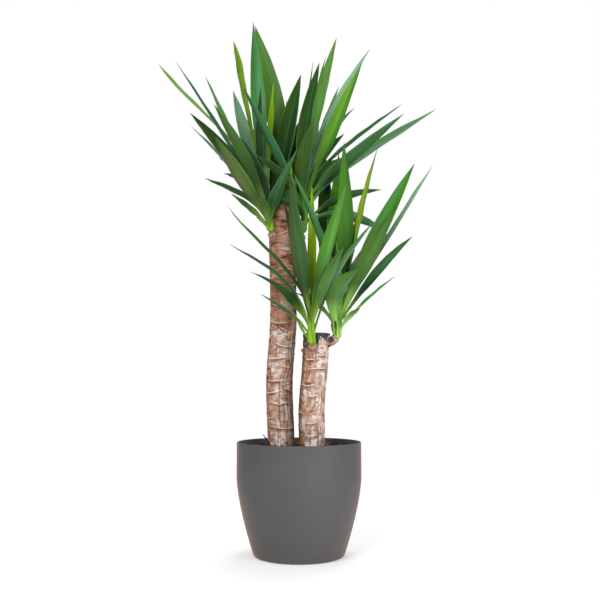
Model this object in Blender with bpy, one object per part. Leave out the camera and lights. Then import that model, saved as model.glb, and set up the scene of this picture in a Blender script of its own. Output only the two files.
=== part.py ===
"""A potted yucca: two sawn canes with five leafy side shoots, in a plain moulded planter.

Metres, +Z up. The origin is the middle of the planter's flat base, and the front looks
along -Y. Leaf and cane places are given as they are sighted from the front: across and up
in the plane of the planter's axis, and how far toward the eye the point lies, all in
centimetres. sighted() turns such a place into a point in space.
"""

import math

import bmesh
import bpy
import numpy as np

CM = 0.01
MM = 0.001
GAP = 0.3 * MM
GOLDEN_TURN = 137.5 / 360

# The eye that the places are sighted from
EYE_DISTANCE = 1.70
EYE_HEIGHT = 0.347

# Planter, moulded in one piece
POT_HEIGHT = 0.224
RIM_RADIUS = 0.125
FOOT_RADIUS = 0.0900
BEND_HEIGHT = 0.155
BEND_POWER = 1.5
WALL = 3.0 * MM
FLOOR = 4.5 * MM
FOOT_ROUND = 5.0 * MM
POT_SIDES = 44
POT_STEPS = 5

# Potting soil
SOIL_LEVEL = 0.213
SOIL_RELIEF = 2.2 * MM
SOIL_RINGS = (0.018, 0.040, 0.062, 0.082, 0.100, 0.114)

# Canes: sections cut from a trunk, planted upright
CANE_SIDES = 14
CANE_WOBBLE = 0.35 * MM
SCAR_PITCH = 19.0 * MM
SCAR_STEP = 1.8 * MM
SCAR_LIP = 0.9 * MM
SCAR_TILT = 2.2 * MM
PLAIN_ABOVE_SOIL = 9.0 * MM
PLAIN_BELOW_TOP = 18.0 * MM

# Dark wax over a cane's sawn top
SEAL_THICKNESS = 1.6 * MM
SEAL_SKIRT = 8.0 * MM
SEAL_RUN = 3.0 * MM

# Leaves
LEAF_THICKNESS = 0.8 * MM
LEAF_FOLD = math.radians(20)
LEAF_BASE = 0.38
LEAF_TIP = 0.05
# A leaf's usual form: how straight its outer half is, where it is widest, and the power of
# the curve that narrows it from there to the tip
USUAL_FORM = (0.7, 0.48, 1.9)
BASE_TURN = 0.65
TWIST_BY = 0.45
SPARE_WIDTH = 1.05
MOST_TURNED = 2.2
INWARD = 0.5
TINY_STEP = 0.001
VIA_PULL = 0.38
LEAF_SEGMENTS = 5
ROOT_OFFSET = 0.4
WIDTH_TO_LENGTH = 0.075
NARROWEST = 1.9 * CM
WIDEST = 4.0 * CM

# Leaves of a shoot's far side: the stem shares that carry them, and their lean in degrees
LOWEST_BACK = 0.15
HIGHEST_BACK = 0.85
LOW_LEAN = 62
HIGH_LEAN = 24
LEAN_SPREAD = 5
BEARING_SPREAD = 6
SHORTEST_SHARE = 0.86
BACK_VIA = 0.52
BACK_VIA_LEAN = 0.8


def sighted(across, up, toward):
    """The point on the sight line through (across, up) that lies toward the eye by toward."""
    nearer = (EYE_DISTANCE - toward * CM) / EYE_DISTANCE
    height = EYE_HEIGHT + (up * CM - EYE_HEIGHT) * nearer
    return np.array([across * CM * nearer, -toward * CM, height])


def unit(vectors):
    """The vectors at length one."""
    return vectors / np.linalg.norm(vectors, axis=-1, keepdims=True)


def smooth_step(t):
    """Zero to one with level ends."""
    t = np.clip(t, 0, 1)
    return t * t * (3 - 2 * t)


def through(points, t):
    """A smooth curve through the points, a Catmull-Rom spline, read at t from 0 to 1."""
    points = np.asarray(points, float)
    padded = np.vstack([2 * points[0] - points[1], points, 2 * points[-1] - points[-2]])
    place = np.clip(np.asarray(t, float), 0, 1) * (len(points) - 1)
    first = np.minimum(place.astype(int), len(points) - 2)
    u = (place - first)[:, None]
    p0, p1, p2, p3 = (padded[first + k] for k in range(4))
    bend = 2 * p0 - 5 * p1 + 4 * p2 - p3
    return 0.5 * (2 * p1 + (p2 - p0) * u + bend * u**2 + (3 * p1 - p0 - 3 * p2 + p3) * u**3)


def new_object(name, vertices, faces, smooth=True):
    """A mesh object from its points and faces, in the scene."""
    mesh = bpy.data.meshes.new(name)
    mesh.from_pydata([tuple(v) for v in vertices], [], faces)
    mesh.update()
    if smooth:
        mesh.shade_smooth()
        mesh.set_sharp_from_angle(angle=math.radians(40))
    made = bpy.data.objects.new(name, mesh)
    bpy.context.scene.collection.objects.link(made)
    return made


def stacked_rings(name, rings, smooth=True):
    """A closed skin over rings of equal count, from the lowest ring up, ends filled."""
    rings = np.asarray(rings)
    count, sides = rings.shape[:2]
    faces = [tuple(reversed(range(sides)))]
    for row in range(count - 1):
        for i in range(sides):
            j = (i + 1) % sides
            a, b = row * sides + i, row * sides + j
            faces.append((a, b, b + sides, a + sides))
    faces.append(tuple(range((count - 1) * sides, count * sides)))
    return new_object(name, rings.reshape(-1, 3), faces, smooth)


def turned(name, profile, sides, lift=None):
    """The profile of (radius, height) turned about Z, from the base's pole round to the last.

    The profile's first and last points lie on the axis. lift(x, y, height) may raise points.
    """
    angles = np.arange(sides) * 2 * math.pi / sides
    vertices = [(0, 0, profile[0][1])]
    for radius, height in profile[1:-1]:
        x, y = radius * np.cos(angles), radius * np.sin(angles)
        z = height + (lift(x, y, height) if lift else 0 * x)
        vertices += list(zip(x, y, z))
    vertices.append((0, 0, profile[-1][1]))
    last = len(vertices) - 1
    faces = []
    for i in range(sides):
        j = (i + 1) % sides
        faces.append((0, 1 + j, 1 + i))
        for row in range(len(profile) - 3):
            a = 1 + row * sides
            faces.append((a + i, a + j, a + sides + j, a + sides + i))
        faces.append((last - sides + i, last - sides + j, last))
    return new_object(name, vertices, faces)


def joined(base, pieces, solver="MANIFOLD", operation="UNION"):
    """The base with the pieces' volume joined to it, or cut from it, and the pieces removed."""
    group = bpy.data.collections.new(base.name + "_pieces")
    bpy.context.scene.collection.children.link(group)
    for piece in pieces:
        group.objects.link(piece)
    boolean = base.modifiers.new("join", "BOOLEAN")
    boolean.operation = operation
    boolean.operand_type = "COLLECTION"
    boolean.collection = group
    boolean.solver = solver
    evaluated = base.evaluated_get(bpy.context.evaluated_depsgraph_get())
    mesh = bpy.data.meshes.new_from_object(evaluated)
    mesh.materials.clear()
    base.modifiers.clear()
    base.data = mesh
    for piece in pieces:
        bpy.data.objects.remove(piece)
    bpy.data.collections.remove(group)
    keep_largest_body(base)
    return base


def keep_largest_body(made):
    """Drops loose scraps, so that the object is the one body with the most faces."""
    work = bmesh.new()
    work.from_mesh(made.data)
    left = set(work.faces)
    bodies = []
    while left:
        body = {left.pop()}
        edge_of_body = list(body)
        while edge_of_body:
            face = edge_of_body.pop()
            for edge in face.edges:
                for other in edge.link_faces:
                    if other in left:
                        left.remove(other)
                        body.add(other)
                        edge_of_body.append(other)
        bodies.append(body)
    bodies.sort(key=len)
    scraps = [face for body in bodies[:-1] for face in body]
    bmesh.ops.delete(work, geom=scraps, context="FACES")
    bmesh.ops.triangulate(work, faces=work.faces)
    work.to_mesh(made.data)
    work.free()


def material(name, colour, roughness):
    """A Principled material of one sRGB colour."""
    made = bpy.data.materials.new(name)
    made.use_nodes = True
    shader = made.node_tree.nodes["Principled BSDF"]
    shader.inputs["Base Color"].default_value = (*[(c / 255) ** 2.2 for c in colour], 1)
    shader.inputs["Roughness"].default_value = roughness
    made.diffuse_color = (*[(c / 255) ** 2.2 for c in colour], 1)
    return made


def pot_radius(height):
    """Outer radius: straight at the top, then drawn in to the foot by a power curve."""
    below = np.clip((BEND_HEIGHT - np.asarray(height, float)) / BEND_HEIGHT, 0, 1)
    return RIM_RADIUS - (RIM_RADIUS - FOOT_RADIUS) * below**BEND_POWER


def pot():
    """The planter: a shell with a flat base, a rounded foot and a rounded lip."""
    half_wall = WALL / 2
    profile = [(0, 0)]
    for turn in (0, 45, 90):
        angle = math.radians(turn)
        height = FOOT_ROUND * (1 - math.cos(angle))
        reach = FOOT_ROUND * (1 - math.sin(angle))
        profile.append((float(pot_radius(height)) - reach, height))
    for step in range(1, POT_STEPS + 1):
        height = FOOT_ROUND + (BEND_HEIGHT - FOOT_ROUND) * step / POT_STEPS
        profile.append((float(pot_radius(height)), height))
    lip = POT_HEIGHT - half_wall
    for turn in (0, 45, 90, 135, 180):
        angle = math.radians(turn)
        radius = RIM_RADIUS - half_wall + half_wall * math.cos(angle)
        profile.append((radius, lip + half_wall * math.sin(angle)))
    for step in range(POT_STEPS + 1):
        height = BEND_HEIGHT + (FLOOR - BEND_HEIGHT) * step / POT_STEPS
        profile.append((float(pot_radius(height)) - WALL, height))
    profile.append((0, FLOOR))
    return turned("pot", profile, POT_SIDES)


def soil_lift(x, y, height):
    """Low mounds of potting soil: three crossing waves, on the top face alone."""
    if height < SOIL_LEVEL:
        return 0 * x
    waves = np.sin(90 * x + 1.3) * np.cos(75 * y) + 0.6 * np.sin(160 * x - 120 * y)
    return SOIL_RELIEF * (waves + 0.5 * np.cos(210 * y + 60 * x)) / 2


def soil(canes):
    """The soil, shaped by the planter's inside, with a plain hole for each cane's foot."""
    inside = WALL + GAP
    profile = [(0, FLOOR + GAP)]
    for step in range(POT_STEPS + 1):
        height = FLOOR + GAP + (BEND_HEIGHT - FLOOR - GAP) * step / POT_STEPS
        profile.append((float(pot_radius(height)) - inside, height))
    profile.append((RIM_RADIUS - inside, SOIL_LEVEL - 3 * MM))
    for radius in reversed(SOIL_RINGS):
        profile.append((radius, SOIL_LEVEL))
    profile.append((0, SOIL_LEVEL))
    made = turned("soil", profile, POT_SIDES, soil_lift)
    holes = []
    for cane in canes:
        foot = cane.path(0.0)
        top = SOIL_LEVEL + 4 * SOIL_RELIEF
        rings = [ring(foot, cane.foot_radius + GAP, height) for height in (cane.foot - GAP, top)]
        holes.append(stacked_rings("hole", rings, smooth=False))
    return joined(made, holes, operation="DIFFERENCE")


def ring(centre, radius, height):
    """A level ring of points, with one radius or one for each of them."""
    angles = np.arange(CANE_SIDES) * 2 * math.pi / CANE_SIDES
    x = centre[0] + radius * np.cos(angles)
    y = centre[1] + radius * np.sin(angles)
    return np.stack([x, y, height + 0 * x], -1)


class Cane:
    """A length of trunk: its sighted centres from the soil up, radius, foot and top height."""

    def __init__(self, name, centres, radius, foot, top, seed):
        self.name = name
        self.centres = np.array([sighted(*centre) for centre in centres])
        self.foot_radius = radius
        self.foot = foot
        self.top = top
        self.seed = seed

    def path(self, height):
        """The centre at a height: upright in the soil, then through the sighted centres."""
        start = SOIL_LEVEL + PLAIN_ABOVE_SOIL
        t = (max(height, start) - start) / (self.top - start)
        return through(self.centres, np.array([t]))[0]

    def scars(self):
        """Heights of the leaf scars, unevenly spaced, each with its tilt's size and bearing."""
        rng = np.random.default_rng(self.seed)
        height = SOIL_LEVEL + PLAIN_ABOVE_SOIL + 0.4 * SCAR_PITCH
        while height < self.top - PLAIN_BELOW_TOP:
            yield height, SCAR_TILT * rng.uniform(0.4, 1), rng.uniform(0, 2 * math.pi)
            height += SCAR_PITCH * rng.uniform(0.75, 1.25)

    def build(self, stubs):
        """Rings that step in above each scar, with the bark stubs that carry the shoots."""
        angles = np.arange(CANE_SIDES) * 2 * math.pi / CANE_SIDES
        radius = self.foot_radius
        plain_top = SOIL_LEVEL + PLAIN_ABOVE_SOIL
        rings = [ring(self.path(0), radius, height) for height in (self.foot, plain_top)]
        for height, tilt, bearing in self.scars():
            lumps = CANE_WOBBLE * np.sin(3 * angles + bearing)
            for rise, swell in ((0, SCAR_LIP), (SCAR_STEP, -SCAR_LIP / 2)):
                level = height + rise + tilt * np.cos(angles - bearing)
                rings.append(ring(self.path(height), radius + swell + lumps, level))
        for height in (self.top - SEAL_SKIRT - 2 * SEAL_RUN, self.top):
            rings.append(ring(self.path(self.top), radius, height))
        made = stacked_rings(self.name, rings)
        return joined(made, [stub.build() for stub in stubs])

    def seal(self, name):
        """Wax poured on the sawn top: a cap whose skirt hangs unevenly down the bark."""
        angles = np.arange(CANE_SIDES) * 2 * math.pi / CANE_SIDES
        centre = self.path(self.top)
        inner = self.foot_radius + GAP
        runs = SEAL_SKIRT + SEAL_RUN * np.sin(2 * angles + self.seed) * np.cos(5 * angles)
        under = self.top + GAP
        over = under + SEAL_THICKNESS
        rings = [
            ring(centre, 0.5 * inner, under),
            ring(centre, inner, under),
            ring(centre, inner, under - runs),
            ring(centre, inner + SEAL_THICKNESS, under - runs),
            ring(centre, inner + SEAL_THICKNESS, under),
            ring(centre, inner, over),
            ring(centre, 0.6 * inner, over + SEAL_THICKNESS / 2),
        ]
        return stacked_rings(name, rings)


class Stub:
    """A bark swelling on a cane: level rings along a sighted path."""

    def __init__(self, places, radii):
        self.places = np.array([sighted(*place) for place in places])
        self.radii = radii

    def build(self):
        rings = [ring(p, r * CM, p[2]) for p, r in zip(self.places, self.radii)]
        return stacked_rings("stub", rings)


def leaning(bearing, lean):
    """The direction that leans from upright toward a bearing, counted from +Y to +X."""
    out = math.sin(lean)
    return np.array([out * math.sin(bearing), out * math.cos(bearing), math.cos(lean)])


class Shoot:
    """A leafy side shoot: a short green stem on its stub, and the leaves rooted up it."""

    def __init__(self, name, places, radii, leaves, back, seed):
        self.name = name
        self.stem = np.array([sighted(*place) for place in places])
        self.stem[0, 2] += GAP
        self.radii = radii
        self.leaves = leaves
        self.back = back
        self.seed = seed

    def root(self, share, bearing):
        """Where a leaf starts: inside the stem, at a share of its length, off its centre."""
        knots = np.linspace(0, 1, len(self.radii))
        off_centre = ROOT_OFFSET * np.interp(share, knots, self.radii) * CM
        centre = through(self.stem, np.array([share]))[0]
        return centre + off_centre * np.array([math.sin(bearing), math.cos(bearing), 0])

    def leaf_lines(self):
        """Every leaf as (root, via, tip, shown width or None, its form)."""
        for share, via, tip, shown, *form in self.leaves:
            form = (*form, *USUAL_FORM[len(form):])
            end = sighted(*tip)
            ahead = end - self.stem[0]
            root = self.root(share, math.atan2(ahead[0], ahead[1]))
            yield root, sighted(*via), end, shown * CM, form
        for root, via, tip in self.back_leaves():
            yield root, via, tip, None, USUAL_FORM

    def back_leaves(self):
        """Leaves that the front hides: turned by the golden angle, kept to the far side."""
        count, reach, middle, spread = self.back
        rng = np.random.default_rng(self.seed)
        for k in range(count):
            share = LOWEST_BACK + (HIGHEST_BACK - LOWEST_BACK) * (k + 0.5) / count
            turn = (k * GOLDEN_TURN) % 1
            bearing = middle + spread * (2 * turn - 1)
            bearing = math.radians(bearing + rng.uniform(-BEARING_SPREAD, BEARING_SPREAD))
            lean = LOW_LEAN + (HIGH_LEAN - LOW_LEAN) * share
            lean = math.radians(lean + rng.uniform(-LEAN_SPREAD, LEAN_SPREAD))
            length = reach * CM * rng.uniform(SHORTEST_SHARE, 1.0)
            root = self.root(share, bearing)
            via = root + BACK_VIA * length * leaning(bearing, BACK_VIA_LEAN * lean)
            yield root, via, root + length * leaning(bearing, lean)

    def build(self):
        """The stem and its leaves, fused."""
        stem = stacked_rings(self.name, [ring(p, r * CM, p[2]) for p, r in zip(self.stem, self.radii)])
        return joined(stem, [leaf(*line) for line in self.leaf_lines()])


def bezier(controls, t):
    """The cubic Bezier curve of four control points."""
    s = 1 - t
    shares = np.stack([s**3, 3 * s * s * t, 3 * s * t * t, t**3], -1)
    return shares @ controls


def leaf_width(t, widest, power):
    """Width share along a sword leaf: waisted at the base, full at widest, and pointed."""
    rise = LEAF_BASE + (1 - LEAF_BASE) * np.sin(np.clip(t / widest, 0, 1) * math.pi / 2) ** 3
    fall = 1 - np.clip((t - widest) / (1 - widest), 0, 1) ** power
    return np.maximum(rise * fall, LEAF_TIP)


def leaf_frame(root, via, tip, shown, straightness, t):
    """Midline points, across vectors, upper-face normals and full width of a leaf.

    The midline is a Bezier curve that leaves the root along the stem and passes via halfway.
    The blade lies level across its bearing, and turns about its midline, over its first
    part, until its width shows as sighted.
    """
    reach = np.linalg.norm(via - root) + np.linalg.norm(tip - via)
    bowed = tip + (2 * via - (root + tip) / 2 - tip) * 2 / 3
    straight = via + (tip - via) * VIA_PULL
    second = bowed + (straight - bowed) * straightness
    first = (8 * via - root - 3 * second - tip) / 3
    controls = np.array([root, first, second, tip])
    points = bezier(controls, t)
    along = unit(bezier(controls, t + TINY_STEP) - bezier(controls, t - TINY_STEP))
    bearing = tip - root
    level = unit(np.array([-bearing[1], bearing[0], 0.0]))
    natural = unit(level - along * (along @ level)[:, None])
    width = np.clip(WIDTH_TO_LENGTH * reach, NARROWEST, WIDEST)
    across = natural
    if shown is not None:
        width = np.clip(width, SPARE_WIDTH * shown, MOST_TURNED * shown)
        sight = unit(np.array([0, -EYE_DISTANCE, EYE_HEIGHT]) - points)
        beside = unit(np.cross(along, sight))
        facing = np.cross(beside, along)
        turn = math.acos(min(shown / width, 1))
        turned_on = beside * math.cos(turn) + facing * math.sin(turn)
        turned_back = beside * math.cos(turn) - facing * math.sin(turn)
        options = [turned_on, turned_back, -turned_on, -turned_back]
        fit = [np.mean(np.sum(option * natural, -1)) for option in options]
        turned_blade = options[int(np.argmax(fit))]
        blend = (BASE_TURN + (1 - BASE_TURN) * smooth_step(t / TWIST_BY))[:, None]
        across = unit(natural * (1 - blend) + turned_blade * blend)
        across = unit(across - along * np.sum(across * along, -1, keepdims=True))
    normal = np.cross(across, along)
    inward = np.sum(normal * (np.array([0, 0, 1.0]) - INWARD * unit(bearing)), -1)
    normal = normal * (1 if np.mean(inward) > 0 else -1)
    return points, across, normal, width


def leaf(root, via, tip, shown, form):
    """A blade of six-sided rings: two upper strips in a shallow V and two lower ones."""
    t = np.linspace(0, 1, LEAF_SEGMENTS + 1)
    straightness, widest, power = form
    points, across, normal, width = leaf_frame(root, via, tip, shown, straightness, t)
    half = (0.5 * width * leaf_width(t, widest, power))[:, None]
    wing = normal * half * math.sin(LEAF_FOLD)
    left = points - across * half * math.cos(LEAF_FOLD) + wing
    right = points + across * half * math.cos(LEAF_FOLD) + wing
    down = normal * LEAF_THICKNESS
    rings = np.stack([left, points, right, right - down, points - down, left - down], 1)
    handed = np.sum(np.cross(across, normal) * (points[-1] - points[0]), -1).mean() > 0
    sides = 6
    faces = []
    for row in range(LEAF_SEGMENTS):
        for i in range(sides):
            j = (i + 1) % sides
            a, b = row * sides + i, row * sides + j
            c, d = a + sides, b + sides
            corners = ((a, b, d), (a, d, c)) if i in (0, 4, 2) else ((a, b, c), (b, d, c))
            faces += corners
    end = LEAF_SEGMENTS * sides
    faces += [(0, 5, 1), (1, 5, 4), (1, 4, 2), (2, 4, 3)]
    faces += [(end, end + 1, end + 5), (end + 1, end + 4, end + 5)]
    faces += [(end + 1, end + 2, end + 4), (end + 2, end + 3, end + 4)]
    if handed:
        faces = [tuple(reversed(face)) for face in faces]
    return new_object("leaf", rings.reshape(-1, 3), faces, smooth=False)


TALL = Cane(
    "tall_cane",
    [(-3.6, 22.2, -3), (-3.97, 34.5, -3), (-3.2, 47, -3), (-3.4, 60, -3), (-3.6, 72, -3)],
    radius=2.66 * CM, foot=0.125, top=0.72, seed=3,
)
SHORT = Cane(
    "short_cane",
    [(2.6, 22.2, 2), (2.57, 28.4, 2), (3.2, 36.5, 2), (3.6, 44, 2)],
    radius=2.52 * CM, foot=0.135, top=0.440, seed=8,
)

TALL_LEFT_STUB = Stub([(-4.7, 63.2, -1.6), (-5.4, 64.3, -0.7), (-5.75, 65.2, -0.15)], (1.1, 1.1, 1.0))
TALL_BACK_STUB = Stub([(-3.4, 65.4, -4.4), (-3.4, 67.0, -6.2), (-3.4, 68.4, -6.9)], (1.3, 1.25, 1.05))
TALL_RIGHT_STUB = Stub([(-2.6, 60.6, -3.2), (-0.3, 63.0, -3.4), (0.75, 64.9, -3.5)], (1.3, 1.15, 0.95))
SHORT_LEFT_STUB = Stub([(2.9, 40.7, 3.6), (2.65, 41.4, 5.0), (2.55, 42.0, 5.6)], (0.95, 1.1, 1.05))
SHORT_RIGHT_STUB = Stub([(5.0, 41.6, 2.2), (6.55, 42.2, 2.2), (7.7, 43.1, 2.2)], (0.95, 0.85, 0.9))

# Leaves as (root's share of the stem, place halfway, place of the tip, width that shows),
# and where it isn't the usual one, as much of its form as differs
TALL_LEFT = Shoot(
    "tall_left_shoot",
    [(-5.85, 65.2, -0.1), (-6.15, 68.2, -0.1), (-6.35, 71.5, -0.1), (-6.4, 75.0, -0.1)],
    (0.95, 0.85, 0.65, 0.3),
    [
        (0.60, (-18.3, 88.7, -3), (-29.6, 101, -6), 0.75, 2.8, 0.80, 2.6),
        (0.55, (-15.9, 85.5, -1), (-26.1, 101.7, -2), 0.57, 0.72),
        (0.62, (-14.3, 85.6, -6), (-19.8, 98.5, -12), 1.2),
        (0.45, (-11.7, 81.0, 6), (-17.9, 92.4, 13), 3.0),
        (0.52, (-14.4, 80.9, -5), (-22.9, 90.5, -12), 2.8),
        (0.35, (-14.6, 79.0, -7), (-22.6, 87.6, -15), 0.6),
        (0.25, (-11.3, 76.3, 9), (-17.3, 85.3, 18), 2.8),
        (0.30, (-10.8, 76.0, -6), (-17.0, 81.0, -14), 1.0),
        (0.22, (-11.2, 75.2, -7), (-15.7, 77.5, -15), 1.4, 0.5),
        (0.15, (-12.6, 73.3, 1), (-19.7, 76.6, 1), 1.2, 1.4),
        (0.10, (-9.7, 69.6, 2), (-14.2, 73.3, 4), 1.7, 0.88),
        (0.04, (-7.7, 67.1, 0.6), (-8.8, 67.7, 1.2), 0.7),
        (0.80, (-11.7, 94, -4), (-13.9, 106, -6), 1.5, 1, 0.70, 2.6),
        (0.70, (-10.9, 84.5, -8), (-13.9, 95.3, -15), 2.9),
        (0.90, (-8.6, 91.5, -1), (-9.7, 110.2, -3), 3.3),
        (0.75, (-8.4, 84.0, 1), (-8.1, 96.2, 3), 1.6),
        (0.97, (-5.9, 86.0, -0.2), (-5.3, 97.4, -0.2), 1.3),
        (0.12, (-4.3, 74.0, 7), (0.0, 83.3, 15), 2.6),
        (0.08, (-7.0, 69.6, 5), (-8.0, 73.4, 9), 2.0),
        (0.37, (-6.3, 78.5, -2.4), (-5.5, 87.0, -2.6), 2.4),
    ],
    back=(3, 29, -28, 8), seed=79,
)
TALL_BACK = Shoot(
    "tall_back_shoot",
    [(-3.4, 68.4, -6.9), (-3.4, 71.5, -6.9), (-3.4, 74.5, -6.9), (-3.3, 78.0, -6.8)],
    (0.95, 0.85, 0.65, 0.3),
    [
        (0.55, (-5.3, 91.5, -9), (-9.3, 109.3, -12), 4.8),
        (0.60, (-2.6, 85.5, -6), (0.4, 98.8, -9), 3.9),
        (0.95, (-3.2, 85.0, -7.5), (-2.5, 93.2, -8), 1.5),
        (0.40, (-1.4, 81.5, -9), (1.5, 91.0, -14), 2.4),
        (0.45, (-6.4, 82.0, -6), (-8.4, 90.5, -9), 2.4),
    ],
    back=(6, 29, 2, 45), seed=31,
)
TALL_RIGHT = Shoot(
    "tall_right_shoot",
    [(0.75, 64.9, -3.5), (1.15, 68.0, -3.5), (1.2, 71.5, -3.5), (1.5, 75.5, -3.5)],
    (0.9, 0.85, 0.65, 0.3),
    [
        (0.70, (1.5, 85.5, -9), (2.95, 101.6, -15), 0.9),
        (0.80, (1.3, 87.0, -6), (4.3, 101.4, -10), 3.3),
        (0.95, (4.55, 93.5, -3.5), (7.95, 106.8, -4), 2.3),
        (0.75, (2.9, 88.0, -8), (5.6, 102.6, -14), 1.3),
        (0.72, (6.7, 89.2, -7), (14.9, 104.3, -13), 2.1),
        (0.65, (6.9, 86.2, -1), (13.3, 101.3, 2), 2.8),
        (0.55, (4.6, 84.0, -9), (8.4, 96.3, -16), 1.9),
        (0.50, (4.5, 82.8, -9), (11.7, 91.6, -16), 1.6),
        (0.35, (1.0, 80.0, 3), (3.2, 89.1, 11), 2.8),
        (0.45, (-4.9, 82.0, 4), (-12.1, 96.7, 8), 1.9),
        (0.30, (-3.6, 77.0, 5), (-8.8, 81.2, 12), 1.9),
        (0.92, (10.3, 84.1, -1), (21.7, 92.4, 2), 0.9, 1.1),
        (0.68, (10.8, 80.5, 0), (22.0, 90.3, 2), 2.1, 0.9),
        (0.38, (12.2, 81.4, -3), (28.8, 91.3, -5), 1.7, 1.8),
        (0.18, (9.0, 72.4, -4.2), (17.2, 74.1, -8), 1.9),
        (0.26, (10.4, 68.5, -4), (18.0, 65.2, -6), 2.3),
        (0.42, (3.4, 79.0, -6), (9.5, 86.0, -9), 2.6),
    ],
    back=(4, 28, 17, 40), seed=97,
)
SHORT_LEFT = Shoot(
    "short_left_shoot",
    [(2.55, 42.0, 5.7), (2.5, 44.5, 5.7), (2.5, 47.0, 5.6), (2.6, 50.5, 5.4)],
    (0.95, 0.9, 0.7, 0.3),
    [
        (0.45, (-4.5, 58.7, 5), (-14.7, 70.6, 3), 0.6, 2.3),
        (0.35, (-4.7, 56.4, 8), (-14.3, 62.7, 9), 0.56, 1.2),
        (0.40, (-2.9, 52.7, 3.5), (-10.4, 57, 0), 2.5, 0.25, 0.38, 0.6),
        (0.20, (-2.1, 48.3, 7), (-7.9, 52.3, 8), 0.9, 1.0),
        (0.10, (0.3, 45.4, 6.3), (-0.5, 47.4, 6.5), 0.6),
        (0.75, (-0.1, 60.3, 8.5), (-1.9, 75.9, 10), 3.4),
        (0.97, (2.75, 61.0, 3.2), (2.7, 75.3, 0.6), 1.9),
        (0.85, (5.6, 61.0, 8), (10.1, 76.0, 10), 2.7),
        (0.43, (5.5, 54.6, 11), (9.4, 62.4, 17), 2.3),
        (0.17, (8.6, 57.8, 5.2), (15.5, 67.3, 5), 1.2),
        (0.55, (3.9, 52.5, 8), (5.9, 58.7, 11), 1.2),
    ],
    back=(3, 27, 22, 30), seed=87,
)
SHORT_RIGHT = Shoot(
    "short_right_shoot",
    [(7.7, 43.1, 2.2), (7.95, 45.3, 2.2), (8.35, 48.2, 2.2), (8.8, 51.5, 2.2)],
    (0.95, 0.9, 0.65, 0.3),
    [
        (0.60, (4.9, 62.4, 4.4), (-1.3, 77.9, 7.5), 1.7),
        (0.25, (7.6, 53.8, 10), (12.8, 57.6, 16), 3.6, 0.7, 0.46, 0.8),
        (0.70, (16, 64.1, 0), (24.1, 79.7, -3), 3.8, 0.46),
        (0.50, (14.3, 59.8, 7), (19.3, 69.3, 13), 3.5),
        (0.63, (18.3, 63.3, -3), (27.8, 78.9, -7), 1, 0.14),
        (0.45, (16.2, 57, 1), (23.5, 64.3, -1), 2.1, 0.22),
        (0.30, (14.1, 51.2, 3.5), (19.8, 56, 4), 0.6, 0.5),
        (0.20, (10.6, 47.7, 5), (12.5, 49.4, 8), 1.2),
        (0.22, (4.0, 49.7, 1.2), (-1.0, 52.7, 1.0), 1.0),
        (0.85, (9.7, 65.8, 1.8), (9.4, 84.2, 2.5), 3.8),
        (0.75, (7.5, 62.5, -4), (8.1, 77.3, -10), 2.7),
        (0.80, (12.2, 66, 0.6), (16.4, 83, -1), 1.4, 0.1),
        (0.65, (11.0, 61.5, -5), (13.2, 72.3, -11), 1.5),
        (0.90, (5.9, 62.5, -5), (5.2, 82.0, -13), 3.4),
        (0.96, (7.9, 57.0, 3.2), (7.6, 63.5, 3.4), 1.1),
    ],
    back=(4, 27, 35, 41), seed=5,
)

CANES = (
    (TALL, (TALL_LEFT_STUB, TALL_BACK_STUB, TALL_RIGHT_STUB)),
    (SHORT, (SHORT_LEFT_STUB, SHORT_RIGHT_STUB)),
)
SHOOTS = (TALL_LEFT, TALL_BACK, TALL_RIGHT, SHORT_LEFT, SHORT_RIGHT)


def clear_scene():
    """Removes the objects that the file holds."""
    for old in list(bpy.data.objects):
        bpy.data.objects.remove(old, do_unlink=True)


def main():
    """Builds every piece and gives each its material."""
    clear_scene()
    pot().data.materials.append(material("matt_polypropylene", (100, 100, 103), 0.55))
    ground = soil([cane for cane, stubs in CANES])
    ground.data.materials.append(material("potting_soil", (62, 46, 36), 0.95))
    bark = material("cane_bark", (158, 124, 98), 0.85)
    wax = material("sealing_wax", (52, 48, 50), 0.6)
    blade = material("leaf_blade", (62, 110, 44), 0.42)
    for cane, stubs in CANES:
        cane.build(stubs).data.materials.append(bark)
        cane.seal(cane.name + "_seal").data.materials.append(wax)
    for shoot in SHOOTS:
        shoot.build().data.materials.append(blade)


if __name__ == "__main__":
    main()
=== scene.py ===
"""A potted yucca: two sawn canes with leafy side shoots in a matt anthracite planter.

Metres, +Z up, front along -Y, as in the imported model. Each shape is a numpy function of two
parameters on a grid. Places on the leaves, canes and shoots are given as they are sighted
from the front, in centimetres: across, up, and how far toward the eye.
"""

import math
from functools import partial

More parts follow.
